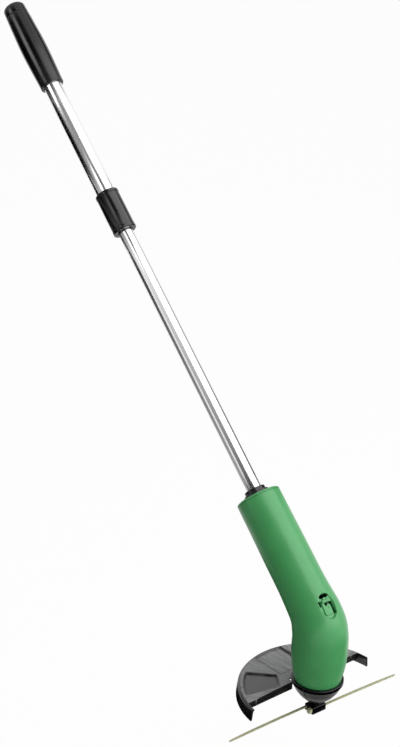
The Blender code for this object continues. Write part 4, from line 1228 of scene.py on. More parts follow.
@dataclass(frozen=True)
class MotorBody:
    """The green body: two half shells, the cover of the battery bay, and the cap with its bush.

    Rows are places along the body and columns angles round it. They are closer together near
    every edge, and round the switch's recess.
    """

    shape: BodyShape
    switch: Switch
    seam_deg: float = 0.06
    edge: float = 0.3
    row_gap: float = 1.6
    column_deg: float = 4.0
    seam_radius: float = 28.0
    fine_gap: float = 0.45
    fine_radius: float = 29.0
    fine_rows: Pair = (-24.0, 21.0)
    fine_columns: Pair = (61.0, 112.0)
    cover_span: Pair = (46.0, 108.0)
    cover_hole_deg: float = 30.7
    cover_half_deg: float = 30.0
    cover_radius: float = 28.6
    cover_gaps: Pair = (0.5, 2.0)
    cover_ribs: tuple[float, ...] = (92.0, 95.5, 99.0, 102.5)
    rib: float = 0.5
    rib_width: float = 0.75
    rib_half_deg: float = 18.6
    rib_fade_deg: float = 3.0
    screw_spots: tuple[Pair, ...] = (
        (19.0, 136.0), (-19.0, 136.0), (19.0, 28.0), (-19.0, 28.0))
    sink_diameter: float = 6.2
    sink_span: Pair = (11.0, 40.0)
    sleeve_radius: float = 4.0
    sleeve_edge: float = 0.3
    sleeve_span: Pair = (10.0, 14.4)
    screw_seat: float = 11.3
    cap_span: Pair = (164.5, 167.6)
    cap_radius: float = 27.6
    cap_round: float = 2.8
    cap_skirt: Triple = (24.8, 22.8, 6.0)
    socket: Pair = (12.6, 124.0)
    bush_flange: Pair = (15.8, 3.8)
    bush_neck: Pair = (13.2, 8.6)
    bore: float = 9.9

    def wall_skin(self, lengths: Array, degrees: Array, edge: float, pressed: Place | None, head: Place,
                  keep: Array | None = None, raised: Array | None = None) -> Skin:
        """Make a curved wall of the body between the first and last of its lengths and angles.

        The outer grid falls by the quarter circle of rim_drop near its four sides, and the inner
        grid lies one wall thickness under the surface.

        Args:
            lengths: the places along the body.
            degrees: the angles round it.
            edge: the radius of the rounding at its sides.
            pressed: the switch's frame if its recess is pressed in, or None.
            head: the head's frame.
            keep: which cells are solid, or None for all.
            raised: how far each outer point stands out, or None.

        Returns:
            The closed skin, in the head's frame.
        """
        shape = self.shape
        along = lengths[:, None]
        angle = np.radians(degrees)[None, :]
        arc = through(list(shape.stations), along) * np.minimum(angle - angle[0, 0], angle[0, -1] - angle)
        side = np.minimum(np.minimum(along - lengths[0], lengths[-1] - along), arc)
        depth = rim_drop(side, edge) - (0.0 if raised is None else raised)
        top = shape.surface(along, angle, depth)
        bottom = shape.surface(along, angle, np.array(shape.wall))
        if pressed is not None:
            top = self.switch.press(top, pressed, head, self.switch.depth, 0.0)
            floor = self.switch.depth + self.switch.pad
            bottom = self.switch.press(bottom, pressed, head, floor, self.switch.pad_wider)
        return slab(top, bottom, keep)

    def half_lengths(self, fine: Pair | None, extra: tuple[float, ...] = ()) -> Array:
        """Return the rows of a half shell, closer together over the fine stretch if there is one.

        Args:
            fine: the stretch with close rows, or None.
            extra: rows that must be among them.

        Returns:
            The places along the body.
        """
        rows = lines(0.0, self.shape.total, self.row_gap, self.edge, extra)
        if fine is not None:
            rows = np.unique(np.concatenate([rows, lines(*fine, self.fine_gap)]))
        return rows

    def half_degrees(self, start: float, fine: Pair | None,
                     extra: tuple[float, ...] = ()) -> Array:
        """Return the columns of a half shell that starts at an angle.

        Args:
            start: the angle of its first seam.
            fine: the stretch with close columns, or None.
            extra: columns that must be among them.

        Returns:
            The angles round the body, in degrees.
        """
        rim = math.degrees(self.edge / self.seam_radius)
        columns = lines(start + self.seam_deg, start + 180.0 - self.seam_deg, self.column_deg, rim, extra)
        if fine is not None:
            gap = math.degrees(self.fine_gap / self.fine_radius)
            columns = np.unique(np.concatenate([columns, lines(*fine, gap)]))
        return columns

    def rear(self, bench: Bench, place: Place) -> None:
        """Make the half outside the elbow, with the switch's recess and the openings in its floor.

        Args:
            bench: where pieces are made and dressed.
            place: the switch's frame.
        """
        shape = self.shape
        middle = shape.upright + shape.elbow_radius * math.radians(self.switch.turn_deg)
        below, above = self.fine_rows
        lengths = self.half_lengths((middle + below, middle + above))
        degrees = self.half_degrees(0.0, self.fine_columns)
        skin = self.wall_skin(lengths, degrees, self.edge, place, bench.head)
        mesh = bench.mesh("body_rear_shell_moulded", skin, bench.head)
        for opening in self.switch.openings:
            mesh = bench.combine(mesh, opening.between(*self.switch.opening_span), place, Join.CUT)
        bench.piece(mesh, Body.HEAD, Slot.GREEN, "body_rear_shell")

    def front(self, bench: Bench) -> None:
        """Make the half inside the elbow, with the battery bay's opening and the screw sinks.

        Args:
            bench: where pieces are made and dressed.
        """
        shape = self.shape
        low, high = (shape.station(distance) for distance in self.cover_span)
        half = self.cover_hole_deg
        lengths = self.half_lengths(None, (low, high))
        degrees = self.half_degrees(180.0, None, (270.0 - half, 270.0 + half))
        mid_length = (lengths[1:] + lengths[:-1]) / 2.0
        mid_degree = (degrees[1:] + degrees[:-1]) / 2.0
        inside = (mid_length > low) & (mid_length < high)
        across = np.abs(mid_degree - 270.0) < half
        keep = ~(inside[:, None] & across[None, :])
        skin = self.wall_skin(lengths, degrees, self.edge, None, bench.head, keep)
        mesh = bench.mesh("body_front_shell_moulded", skin, bench.head)
        round_outline = oval_outline(self.sleeve_radius, self.sleeve_radius)
        sleeve = bar(round_outline, *self.sleeve_span, self.sleeve_edge)
        sink = Oval(0.0, 0.0, self.sink_diameter, self.sink_diameter).between(*self.sink_span)
        sleeves = [sleeve.turned(90.0, "X").moved((x, 0.0, z)) for x, z in self.screw_spots]
        sinks = [sink.turned(90.0, "X").moved((x, 0.0, z)) for x, z in self.screw_spots]
        mesh = bench.combine(mesh, joined(*sleeves), bench.pole, Join.ADD)
        mesh = bench.combine(mesh, joined(*sinks), bench.pole, Join.CUT)
        bench.piece(mesh, Body.HEAD, Slot.GREEN, "body_front_shell")

    def cover(self, bench: Bench) -> None:
        """Make the battery cover, with finger ribs across its upper end.

        Each rib is a bell curve along the body that fades out before the cover's sides.

        Args:
            bench: where pieces are made and dressed.
        """
        shape = self.shape
        gap = self.switch.gap
        low = shape.station(self.cover_span[0] + gap)
        high = shape.station(self.cover_span[1] - gap)
        row_gap, column_deg = self.cover_gaps
        lengths = lines(low, high, row_gap, self.edge)
        start = 270.0 - self.cover_half_deg
        rim = math.degrees(self.edge / self.cover_radius)
        degrees = lines(start, start + 2.0 * self.cover_half_deg, column_deg, rim)
        ribs = np.array([shape.station(rib) for rib in self.cover_ribs])
        wave = np.exp(-((lengths[:, None] - ribs[None, :]) / self.rib_width) ** 2).sum(1)
        width = ease((self.rib_half_deg - np.abs(degrees - 270.0)) / self.rib_fade_deg)
        raised = self.rib * wave[:, None] * width[None, :]
        skin = self.wall_skin(lengths, degrees, self.edge, None, bench.head, raised=raised)
        mesh = bench.mesh("battery_cover_moulded", skin, bench.head)
        bench.piece(mesh, Body.COVER, Slot.GREEN, "battery_cover")

    def ends(self, bench: Bench) -> None:
        """Turn the cap on top of the body, with its socket, and the stepped bush round the pole.

        Args:
            bench: where pieces are made and dressed.
        """
        seat, top = self.cap_span
        outer, inner, drop = self.cap_skirt
        wide, foot = self.socket
        corners = [(self.bore, top), (self.cap_radius, top), (self.cap_radius, seat), (outer, seat),
                   (outer, seat - drop), (inner, seat - drop), (inner, seat), (wide, seat), (wide, foot),
                   (self.bore, foot)]
        radii = [0.3, self.cap_round, 0.3, 0.1, 0.3, 0.3, 0.1, 0.3, 0.3, 0.3]
        cap = lathe(rounded(corners, radii, steps=8), ROUND_STEPS)
        mesh = bench.mesh("body_top_cap_turned", cap, bench.pole)
        bench.piece(mesh, Body.HEAD, Slot.GREEN, "body_top_cap")
        low = top + self.switch.gap
        flange, step = self.bush_flange
        neck, height = self.bush_neck
        corners = [(self.bore, low + height), (neck, low + height), (neck, low + step), (flange, low + step),
                   (flange, low), (self.bore, low)]
        radii = [0.3, 0.9, 0.4, 0.8, 0.3, 0.2]
        mesh = bench.mesh("pole_bush_turned", lathe(rounded(corners, radii)), bench.pole)
        bench.piece(mesh, Body.HEAD, Slot.BLACK, "pole_bush")

    def build(self, bench: Bench) -> None:
        """Make the body and everything on it.

        Args:
            bench: where pieces are made and dressed.
        """
        place = self.switch.place(self.shape, bench)
        self.rear(bench, place)
        self.front(bench)
        self.cover(bench)
        self.ends(bench)
        self.switch.build(bench, place)
        for number, (x, z) in enumerate(self.screw_spots, 1):
            CrossHead().build(bench, f"shell_screw_{number}", bench.pole, (x, 0.0, z), 90.0, self.screw_seat)


@dataclass(frozen=True)
class CrossHead:
    """A small pan head screw with a cross recess."""

    head_radius: float = 2.7
    head: float = 2.4
    shank_radius: float = 1.2
    shank: float = 18.3
    point: Pair = (1.5, 0.25)
    cross: Pair = (3.2, 0.8)
    cross_depth: float = 1.3
    cross_corner: float = 0.2
    steps: int = 40

    def skin(self, seat: float) -> Skin:
        """Turn the screw, pointing up; its head stands above the seat and its shank below.

        Args:
            seat: the height of the head's underside.

        Returns:
            The skin.
        """
        tip = seat - self.shank
        top = seat + self.head
        taper, end = self.point
        corners = [(0.0, top), (self.head_radius, top), (self.head_radius, seat), (self.shank_radius, seat),
                   (self.shank_radius, tip + taper), (end, tip), (0.0, tip)]
        radii = [0.0, 1.1, 0.2, 0.2, 0.4, 0.1, 0.0]
        return lathe(rounded(corners, radii, closed=False), self.steps, closed=False)

    def build(self, bench: Bench, name: str, place: Place, spot: Triple, turn: float,
              seat: float) -> None:
        """Make the screw in its place and cut the cross into its head.

        Args:
            bench: the bench.
            name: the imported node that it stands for.
            place: the frame in which it stands.
            spot: where its axis starts.
            turn: how far it is turned about X.
            seat: the height of the head's underside.
        """
        mesh = bench.mesh(name + "_turned", self.skin(seat).turned(turn, "X").moved(spot), place)
        top = seat + self.head
        long, thin = self.cross
        for width, depth in ((long, thin), (thin, long)):
            tool = Block(0.0, 0.0, width, depth, self.cross_corner).between(top - self.cross_depth, top + 1.0)
            mesh = bench.combine(mesh, tool.turned(turn, "X").moved(spot), place, Join.CUT)
        bench.piece(mesh, Body.HEAD, Slot.STEEL, name)


# Cup, guard and rotor

@dataclass(frozen=True)
class Cup:
    """The black cup under the body: a rim, a bowl, and a lug that the guard is screwed to."""

    rim: float = 46.0
    rim_height: float = 5.0
    rim_chamfer: Pair = (0.8, 0.4)
    top_radius: float = 31.2
    curve: tuple[Pair, ...] = ((26.2, 32.0), (21.2, 25.0), (15.2, 19.0))
    hollow: tuple[Pair, ...] = ((10.0, 19.9), (17.5, 27.0), (22.0, 33.5))
    bottom: float = 15.5
    bottom_radius: float = 11.2
    bottom_wall: float = 1.8
    spigot: Pair = (25.0, 5.0)
    spigot_bore: float = 23.0
    bearing: float = 4.9
    boss_radius: float = 7.0
    boss_top: float = 25.5
    seat: float = 16.2
    mouth: float = 3.2
    lug: Block = Block(0.0, -27.5, 22.0, 7.0, 0.6, 0.5)
    lug_span: Pair = (34.3, 39.3)

    def build(self, bench: Bench) -> None:
        """Turn the cup and add its lug.

        Args:
            bench: where pieces are made and dressed.
        """
        foot = self.rim - self.rim_height
        radius, height = self.spigot
        across, up = self.rim_chamfer
        corners = [(self.spigot_bore, self.rim + height), (radius, self.rim + height), (radius, self.rim),
                   (self.top_radius, self.rim), (self.top_radius, foot + up),
                   (self.top_radius - across, foot), *self.curve,
                   (self.bottom_radius, self.bottom + self.bottom_wall),
                   (self.bottom_radius, self.bottom), (self.mouth, self.bottom), (self.mouth, self.seat),
                   (self.bearing, self.seat), (self.bearing, self.boss_top),
                   (self.boss_radius, self.boss_top), *self.hollow, (self.hollow[-1][0], foot),
                   (self.spigot_bore, self.rim)]
        radii = [0.2, 0.4, 0.1, 0.6, 0.8, 0.5, 14.0, 14.0, 6.0, 0.5, 0.6, 0.3, 0.1, 0.1, 0.1, 0.1, 0.2, 2.0,
                 2.0, 0.2, 0.2]
        mesh = bench.mesh("motor_cup_turned", lathe(rounded(corners, radii), ROUND_STEPS), bench.head)
        mesh = bench.combine(mesh, self.lug.between(*self.lug_span), bench.head, Join.ADD)
        bench.piece(mesh, Body.HEAD, Slot.BLACK, "motor_cup")


@dataclass(frozen=True)
class Guard:
    """The half round guard behind the rotor: a sloping plate, a skirt, a front lip and a tongue.

    The crown, rim, shoulder and foot are the (radius, height) of its section's corners. Rows
    run outwards over the plate and down the skirt, and columns run round.
    """

    crown: Pair = (34.0, 35.9)
    rim: Pair = (91.2, 33.5)
    shoulder: Pair = (94.2, 31.7)
    foot: Pair = (95.6, 18.4)
    wall: float = 2.2
    front: float = 20.8
    skirt_end: float = 9.0
    lip_low: float = 25.5
    # Height and half height of a painted highlight band round the skirt.
    band: Pair = (25.5, 1.6)
    panel_depth: float = 2.0
    panel_radius: float = 86.0
    panel_inner: Pair = (26.2, -43.5)
    panel_front: Pair = (38.5, -25.0)
    panel_out: Pair = (78.26, -35.66)
    panel_low: Pair = (49.94, -70.01)
    channel_half: float = 20.0
    channel_radius: float = 91.0
    channel_front: float = 42.0
    soft: float = 0.9
    fade: float = 6.0
    face_margin: float = 0.3
    front_margin: float = 0.2
    flat_margin: float = 0.05
    plate_rows: int = 74
    skirt_rows: int = 9
    columns: int = 241
    crowding: Pair = (1.15, 0.9)
    window: Block = Block(16.0, -23.25, 8.0, 10.5, 1.2)
    tongue: Block = Block(0.0, -29.5, 22.0, 17.0, 0.6, 0.4)
    tongue_span: Pair = (29.0, 34.0)
    notch: Block = Block(0.0, -21.4, 22.6, 20.0, 0.6)
    notch_top: float = 44.0
    screw_spot: Pair = (6.5, -28.0)
    screw_hole: float = 3.0
    screw_shank: float = 8.9
    screw_gap: float = 0.3
    hole_steps: int = 32
    cut_span: Pair = (5.0, 45.0)
    room: tuple[Pair, ...] = (
        (32.0, 60.0), (32.0, 40.3), (27.0, 31.6), (22.0, 24.6), (16.0, 18.6), (16.0, 10.5))

    def beside(self, x: Array, y: Array, a: Pair, b: Pair) -> Array:
        """Return how far points lie to the left of the line from a to b.

        Args:
            x: the places across the tool.
            y: the places along it.
            a: where the line starts.
            b: where it ends.

        Returns:
            The distances.
        """
        run = np.array(b) - np.array(a)
        run /= np.linalg.norm(run)
        return run[0] * (y - a[1]) - run[1] * (x - a[0])

    def inside(self, x: Array, y: Array) -> tuple[Array, Array]:
        """Return how far points lie inside the side panels and the rear channel of the plate.

        Each is the least of the distances inside its sides, and less than 0 outside it.

        Args:
            x: the places across the tool.
            y: the places along it.

        Returns:
            The distances inside the panels and inside the channel.
        """
        side = np.abs(x)
        r = np.hypot(x, y)
        panel = np.minimum.reduce([
            self.panel_radius - r,
            self.beside(side, y, self.panel_out, self.panel_front),
            self.beside(side, y, self.panel_front, self.panel_inner),
            self.beside(side, y, self.panel_inner, self.panel_low)])
        channel = np.minimum.reduce([
            self.channel_half - side, -self.channel_front - y, self.channel_radius - r])
        return panel, channel

    def sunk(self, x: Array, y: Array) -> Array:
        """Return how deep the plate is pressed in: a smooth step about each sunk area's outline."""
        return self.panel_depth * ease(np.maximum(*self.inside(x, y)) / self.soft + 0.5)

    def mark_painted_light(self, mesh: Mesh, bench: Bench) -> None:
        """Write the attribute that tells apart the raised face with its painted sheen, the walls with their
        painted shade, and the panels.

        On the plate's upper face its first number is 0.5 + d / fade by the distance d inside a
        panel, or 0.5 - |d| / fade by that inside the channel, whichever is more, between 0 and 1.
        It is 0.5 elsewhere, where the material paints shade near black, but for a band round the
        middle of the skirt, where it is 0 and the material paints a lighter highlight. The other
        numbers are the angle, and the distance from the middle in decimetres.

        Args:
            mesh: the guard's mesh.
            bench: the bench.
        """
        spots = np.empty(3 * len(mesh.vertices), np.float32)
        mesh.vertices.foreach_get("co", spots)
        x, y, z = bench.head.local(spots.reshape(-1, 3).astype(float)).T
        r = np.hypot(x, y)
        radii, heights = self.profile(0.0)
        upper = np.abs(z - np.interp(r, radii, heights) + self.sunk(x, y)) < self.face_margin
        upper &= (r < self.rim[0]) & (y < -self.front - self.front_margin)
        upper |= np.abs(z - self.tongue_span[1]) < self.flat_margin
        panel, channel = self.inside(x, y)
        tone = np.maximum(0.5 + panel / self.fade, 0.5 - np.abs(channel) / self.fade)
        # Painted highlight: a band round the skirt gets 0, the light tone of the painted sheen; the other
        # walls get 0.5, painted shade.
        band = (r > self.shoulder[0] - self.face_margin) & (np.abs(z - self.band[0]) < self.band[1])
        tone = np.where(upper, np.clip(tone, 0.0, 1.0), np.where(band, 0.0, 0.5))
        values = np.stack([tone, np.arctan2(x, -y), r / 100.0], axis=1)
        data = mesh.attributes.new(RELIEF, "FLOAT_VECTOR", "POINT").data
        data.foreach_set("vector", values.astype(np.float32).ravel())

    def profile(self, thick: float) -> tuple[Array, Array]:
        """Return the radii and heights of the guard's section, from the front edge to the foot.

        Args:
            thick: how far the section lies under the outer one, 0 for the outer one itself.

        Returns:
            The radii and the heights.
        """
        shoulder = self.shoulder[0] - thick
        corners = [(0.0, self.crown[1] - thick), (self.crown[0], self.crown[1] - thick),
                   (self.rim[0] - 0.6 * thick, self.rim[1] - thick),
                   (shoulder, self.shoulder[1] - 0.8 * thick), (self.foot[0] - thick, self.foot[1])]
        radii = [0.0, 60.0, 3.0 - thick, 2.6 - thick, 0.0]
        outline = rounded(corners, [max(r, 0.3) for r in radii], closed=False, steps=8)
        return outline[:, 0], outline[:, 1]

    def grid(self, thick: float) -> Array:
        """Return one side of the guard's wall as a grid.

        Row s has radius R(s) and height z(s) of the section. Its points (R sin f, -R cos f) run
        between the angles at which R cos f equals the front edge, or the skirt's end past the
        rim. One more point at each end of a row carries the lip down.

        Args:
            thick: how deep the surface lies in the wall.

        Returns:
            The grid, in the head's frame.
        """
        r, z = self.profile(thick)
        start = self.front + thick
        edge = self.rim[0] - 0.6 * thick
        row_power, column_power = self.crowding
        inner = start + (edge - start) * np.linspace(0.0, 1.0, self.plate_rows) ** row_power
        outer_r = r[r > edge + 0.01]
        outer_z = z[r > edge + 0.01]
        foot = np.linspace(0.0, 1.0, self.skirt_rows + 1)[1:]
        last_r, last_z = outer_r[-2], outer_z[-2]
        skirt_r = last_r + (self.foot[0] - thick - last_r) * foot
        skirt_z = last_z + (self.foot[1] - last_z) * foot
        rows_r = np.concatenate([inner, [inner[-1] + 0.02], outer_r[:-1], skirt_r])
        rows_z = np.concatenate([np.interp(inner, r, z), [np.interp(edge, r, z)], outer_z[:-1], skirt_z])
        on_plate = np.arange(len(rows_r)) < len(inner)
        limit = np.where(on_plate, start, self.skirt_end)
        reach = np.arccos(np.clip(limit / rows_r, -1.0, 1.0))
        share = np.linspace(-1.0, 1.0, self.columns)
        share = np.sign(share) * np.abs(share) ** column_power
        share = np.concatenate([[-1.0, -1.0], share, [1.0, 1.0]])
        angle = reach[:, None] * share[None, :]
        x = rows_r[:, None] * np.sin(angle)
        y = -rows_r[:, None] * np.cos(angle)
        height = np.broadcast_to(rows_z[:, None], x.shape).copy()
        plate = on_plate[:, None] & (np.abs(share) < 1.0)[None, :]
        height -= np.where(plate, self.sunk(x, y), 0.0)
        for column in (0, -1):
            height[on_plate, column] = self.lip_low
        return np.stack([x, y, height], axis=-1)

    def build(self, bench: Bench) -> None:
        """Make the guard and dress its two screws.

        Args:
            bench: where pieces are made and dressed.
        """
        skin = slab(self.grid(0.0), self.grid(self.wall), open_start=True)
        mesh = bench.mesh("guard_moulded", skin, bench.head)
        low, top = self.tongue_span
        mesh = bench.combine(mesh, self.tongue.between(low, top), bench.head, Join.ADD)
        mesh = bench.combine(mesh, self.notch.between(top, self.notch_top), bench.head, Join.CUT)
        x, y = self.screw_spot
        spots = [(-x, y, 0.0), (x, y, 0.0)]
        hole = Oval(0.0, 0.0, self.screw_hole, self.screw_hole).between(*self.cut_span, self.hole_steps)
        window = self.window.between(*self.cut_span)
        cuts = [window.moved((-2.0 * self.window.x, 0.0, 0.0)), window, *(hole.moved(spot) for spot in spots)]
        mesh = bench.combine(mesh, joined(*cuts), bench.head, Join.CUT)
        room = [(0.0, self.room[0][1]), *self.room, (0.0, self.room[-1][1])]
        mesh = bench.combine(mesh, lathe(np.array(room), closed=False), bench.head, Join.CUT)
        self.mark_painted_light(mesh, bench)
        bench.piece(mesh, Body.HEAD, Slot.GUARD, "guard")
        screw = CrossHead(shank=self.screw_shank)
        for number, spot in enumerate(spots, 1):
            screw.build(bench, f"guard_screw_{number}", bench.head, spot, 180.0, self.screw_gap - low)


@dataclass(frozen=True)
class Rotor:
    """The rotor: a block on the motor's shaft that carries two nylon strips by their heads."""

    turn_deg: float = -2.2
    block: Block = Block(0.0, 0.0, 21.0, 15.0, 0.9, 0.7)
    block_height: float = 9.0
    neck_radius: float = 6.0
    neck_span: Pair = (8.0, 14.0)
    neck_edge: float = 0.4
    bore: Oval = Oval(0.0, 0.0, 4.0, 4.0)
    bore_span: Pair = (3.1, 20.0)
    screw_sink: Oval = Oval(0.0, 0.0, 3.8, 3.8)
    sink_span: Pair = (-2.0, 1.6)
    hole_steps: int = 48
    strip_width: float = 3.6
    strip_thick: float = 1.2
    strip_offset: float = 4.8
    strip_height: float = 5.5
    strip_reach: float = 126.0
    droop: float = 2.0
    droop_power: float = 2.4
    taper: float = 0.35
    taper_power: float = 8.0
    tip: float = 4.0
    tip_round: float = 3.0
    tip_share: float = 0.75
    rim: float = 0.3
    rail_share: float = 0.78
    rail_fade: float = 0.14
    tooth_pitch: float = 1.4
    tooth_depth: float = 0.14
    tooth_start: float = 16.0
    head: Block = Block(-13.3, 0.0, 5.0, 5.2, 0.9, 0.6)
    head_span: Pair = (-2.4, 3.0)
    pawl: Block = Block(-13.7, 0.0, 1.2, 2.6, 0.3)
    pawl_span: Pair = (2.2, 5.7)
    gap: float = 0.3
    slot_corner: float = 0.3

    def strip(self) -> Skin:
        """Make one strip's tail, along +X.

        It is drawn to a rounded tip, sags by droop * t^droop_power along its free length, and
        narrows by taper * t^taper_power. It has fine sloping teeth between two plain rails on its
        upper face: the height of a tooth rises evenly over one pitch and falls at once.

        Returns:
            The closed skin.
        """
        half_block = self.block.width / 2.0
        start = self.head.x - self.head.width / 2.0
        toothed = self.strip_reach - self.tip
        plain = np.linspace(start, self.tooth_start, 24)
        teeth = np.arange(self.tooth_start, toothed, self.tooth_pitch)
        ramp = np.array([0.0, 0.5, 0.9, 1.0]) * self.tooth_pitch
        tip = self.strip_reach - self.tip * (1.0 - np.linspace(0.0, 1.0, 12) ** 0.6)
        xs = np.unique(np.round(np.concatenate([plain, (teeth[:, None] + ramp[None, :]).ravel(), tip]), 4))
        xs = xs[xs <= self.strip_reach]
        t = np.clip((xs - half_block) / (self.strip_reach - half_block), 0.0, 1.0)
        end = np.clip((self.strip_reach - xs) / self.tip_round, 0.0, 1.0)
        width = self.strip_width / 2.0
        half = width * (1.0 - self.taper * t**self.taper_power)
        half *= np.sqrt(1.0 - (1.0 - end) ** 2 * self.tip_share)
        saw = ((xs - self.tooth_start) / self.tooth_pitch) % 1.0
        saw = np.where((xs > self.tooth_start) & (xs < toothed), saw, 1.0)
        right = np.array([0.0, 0.3, 0.62, 0.72, 0.85, 0.96, 1.0])
        share = np.concatenate([-right[:0:-1], right])
        inside = ease((self.rail_share - np.abs(share)) / self.rail_fade)
        edge = rim_drop((1.0 - np.abs(share)) * width, self.rim)
        top = self.strip_thick / 2.0 - edge[None, :]
        top = top - self.tooth_depth * inside[None, :] * (1.0 - saw[:, None])
        low = np.broadcast_to(-self.strip_thick / 2.0 + edge[None, :], top.shape)
        sag = self.droop * t[:, None] ** self.droop_power
        y = half[:, None] * share[None, :]
        x = np.broadcast_to(xs[:, None], y.shape)
        return slab(np.stack([x, y, top - sag], axis=-1), np.stack([x, y, low - sag], axis=-1))

    def place(self, bench: Bench) -> Place:
        """Return the rotor's frame: the head's, turned a little about the spin axis.

        Args:
            bench: where the frames are.

        Returns:
            The frame.
        """
        angle = math.radians(self.turn_deg)
        across = np.array([math.cos(angle), math.sin(angle), 0.0])
        ahead = np.array([-math.sin(angle), math.cos(angle), 0.0])
        return Place(bench.head.origin, across, ahead, np.array([0.0, 0.0, 1.0]))

    def build_strip(self, bench: Bench, place: Place, name: str, turn: float, offset: float) -> None:
        """Make one strip with its head.

        Args:
            bench: the bench.
            place: the rotor's frame.
            name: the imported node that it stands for.
            turn: which way it points, in degrees.
            offset: how far it lies beside the axis.
        """
        spot = (0.0, offset, self.strip_height)
        mesh = bench.mesh(name + "_moulded", self.strip().turned(turn, "Z").moved(spot), place)
        head = self.head.between(*self.head_span).turned(turn, "Z").moved(spot)
        mesh = bench.combine(mesh, head, place, Join.ADD)
        pawl = self.pawl.between(*self.pawl_span).turned(turn, "Z").moved(spot)
        mesh = bench.combine(mesh, pawl, place, Join.CUT)
        bench.piece(mesh, Body.ROTOR, Slot.NYLON, name, sharp=25.0)

    def build(self, bench: Bench) -> None:
        """Make the block, both strips and the screw under the block.

        Args:
            bench: where pieces are made and dressed.
        """
        place = self.place(bench)
        mesh = bench.mesh("rotor_block_moulded", self.block.between(0.0, self.block_height), place)
        neck = bar(oval_outline(self.neck_radius, self.neck_radius), *self.neck_span, self.neck_edge)
        mesh = bench.combine(mesh, neck, place, Join.ADD)
        room = 2.0 * self.gap
        slot = Block(0.0, 0.0, self.strip_width + room, self.strip_thick + room, self.slot_corner)
        slot = slot.between(-self.block.width, self.block.width).turned(90.0, "X").turned(90.0, "Z")
        offsets = (-self.strip_offset, self.strip_offset)
        slots = [slot.moved((0.0, offset, self.strip_height)) for offset in offsets]
        bore = self.bore.between(*self.bore_span, self.hole_steps)
        mesh = bench.combine(mesh, joined(bore, *slots), place, Join.CUT)
        sink = self.screw_sink.between(*self.sink_span, self.hole_steps)
        mesh = bench.combine(mesh, sink, place, Join.CUT)
        bench.piece(mesh, Body.ROTOR, Slot.BLACK, "rotor_block")
        self.build_strip(bench, place, "cutting_strip_left", 0.0, -self.strip_offset)
        self.build_strip(bench, place, "cutting_strip_right", 180.0, self.strip_offset)
        bench.dress(Slot.STEEL, "rotor_screw", "motor_shaft")
        bench.dress(Slot.WINDING, "motor_armature")


@dataclass(frozen=True)
class Drive:
    """What works inside the body: the motor, the battery pack and its contacts and wires."""

    cells: int = 4

    def build(self, bench: Bench) -> None:
        """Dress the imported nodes, whose shapes are right.

        Args:
            bench: where pieces are made and dressed.
        """
        bench.dress(Slot.STEEL, "motor_can", "motor_plate")
        bench.dress(Slot.WHITE, "motor_end_bell")
        bench.dress(Slot.MAGNET, "motor_magnet_left", "motor_magnet_right")
        bench.dress(Slot.BRASS, "shaft_bearing", "lower_contact_left", "lower_contact_right",
                    "upper_contact_left", "upper_contact_right")
        bench.dress(Slot.RED, "motor_wire_red")
        bench.dress(Slot.BLACK, "motor_wire_black", "battery_cradle")
        numbers = range(1, self.cells + 1)
        bench.dress(Slot.CELL, *(f"cell_{k}" for k in numbers))
        bench.dress(Slot.STEEL, *(f"cell_spring_{k}" for k in numbers))


# Studio

BESIDE_BODY = (-0.12, 0.2)
BESIDE_LOWER_TUBE = (0.2, 0.655)
BESIDE_COLLAR = (0.66, 0.725)
BESIDE_UPPER_TUBE = (0.727, 0.912)
BESIDE_GRIP = (0.915, 1.1)


@dataclass(frozen=True)
class Panel:
    """A flat panel beside the pole, parallel to it: a soft lamp, or a dark card for reflections.

    Its span is where it starts and ends along the pole, in metres, and its shades are how much a
    card hides of what lies behind it at those ends, from 0 to 1.
    """

    name: str
    turn_deg: float
    width: float
    span: Pair
    shades: Pair = (1.0, 1.0)
    distance: float = 0.3
    glow: float = 0.0


@dataclass(frozen=True)
class Ground:
    """A dark card over the floor, from left to right and from near to far of the head's axis."""

    left: float
    right: float
    near: float
    far: float
    shade: float = 1.0


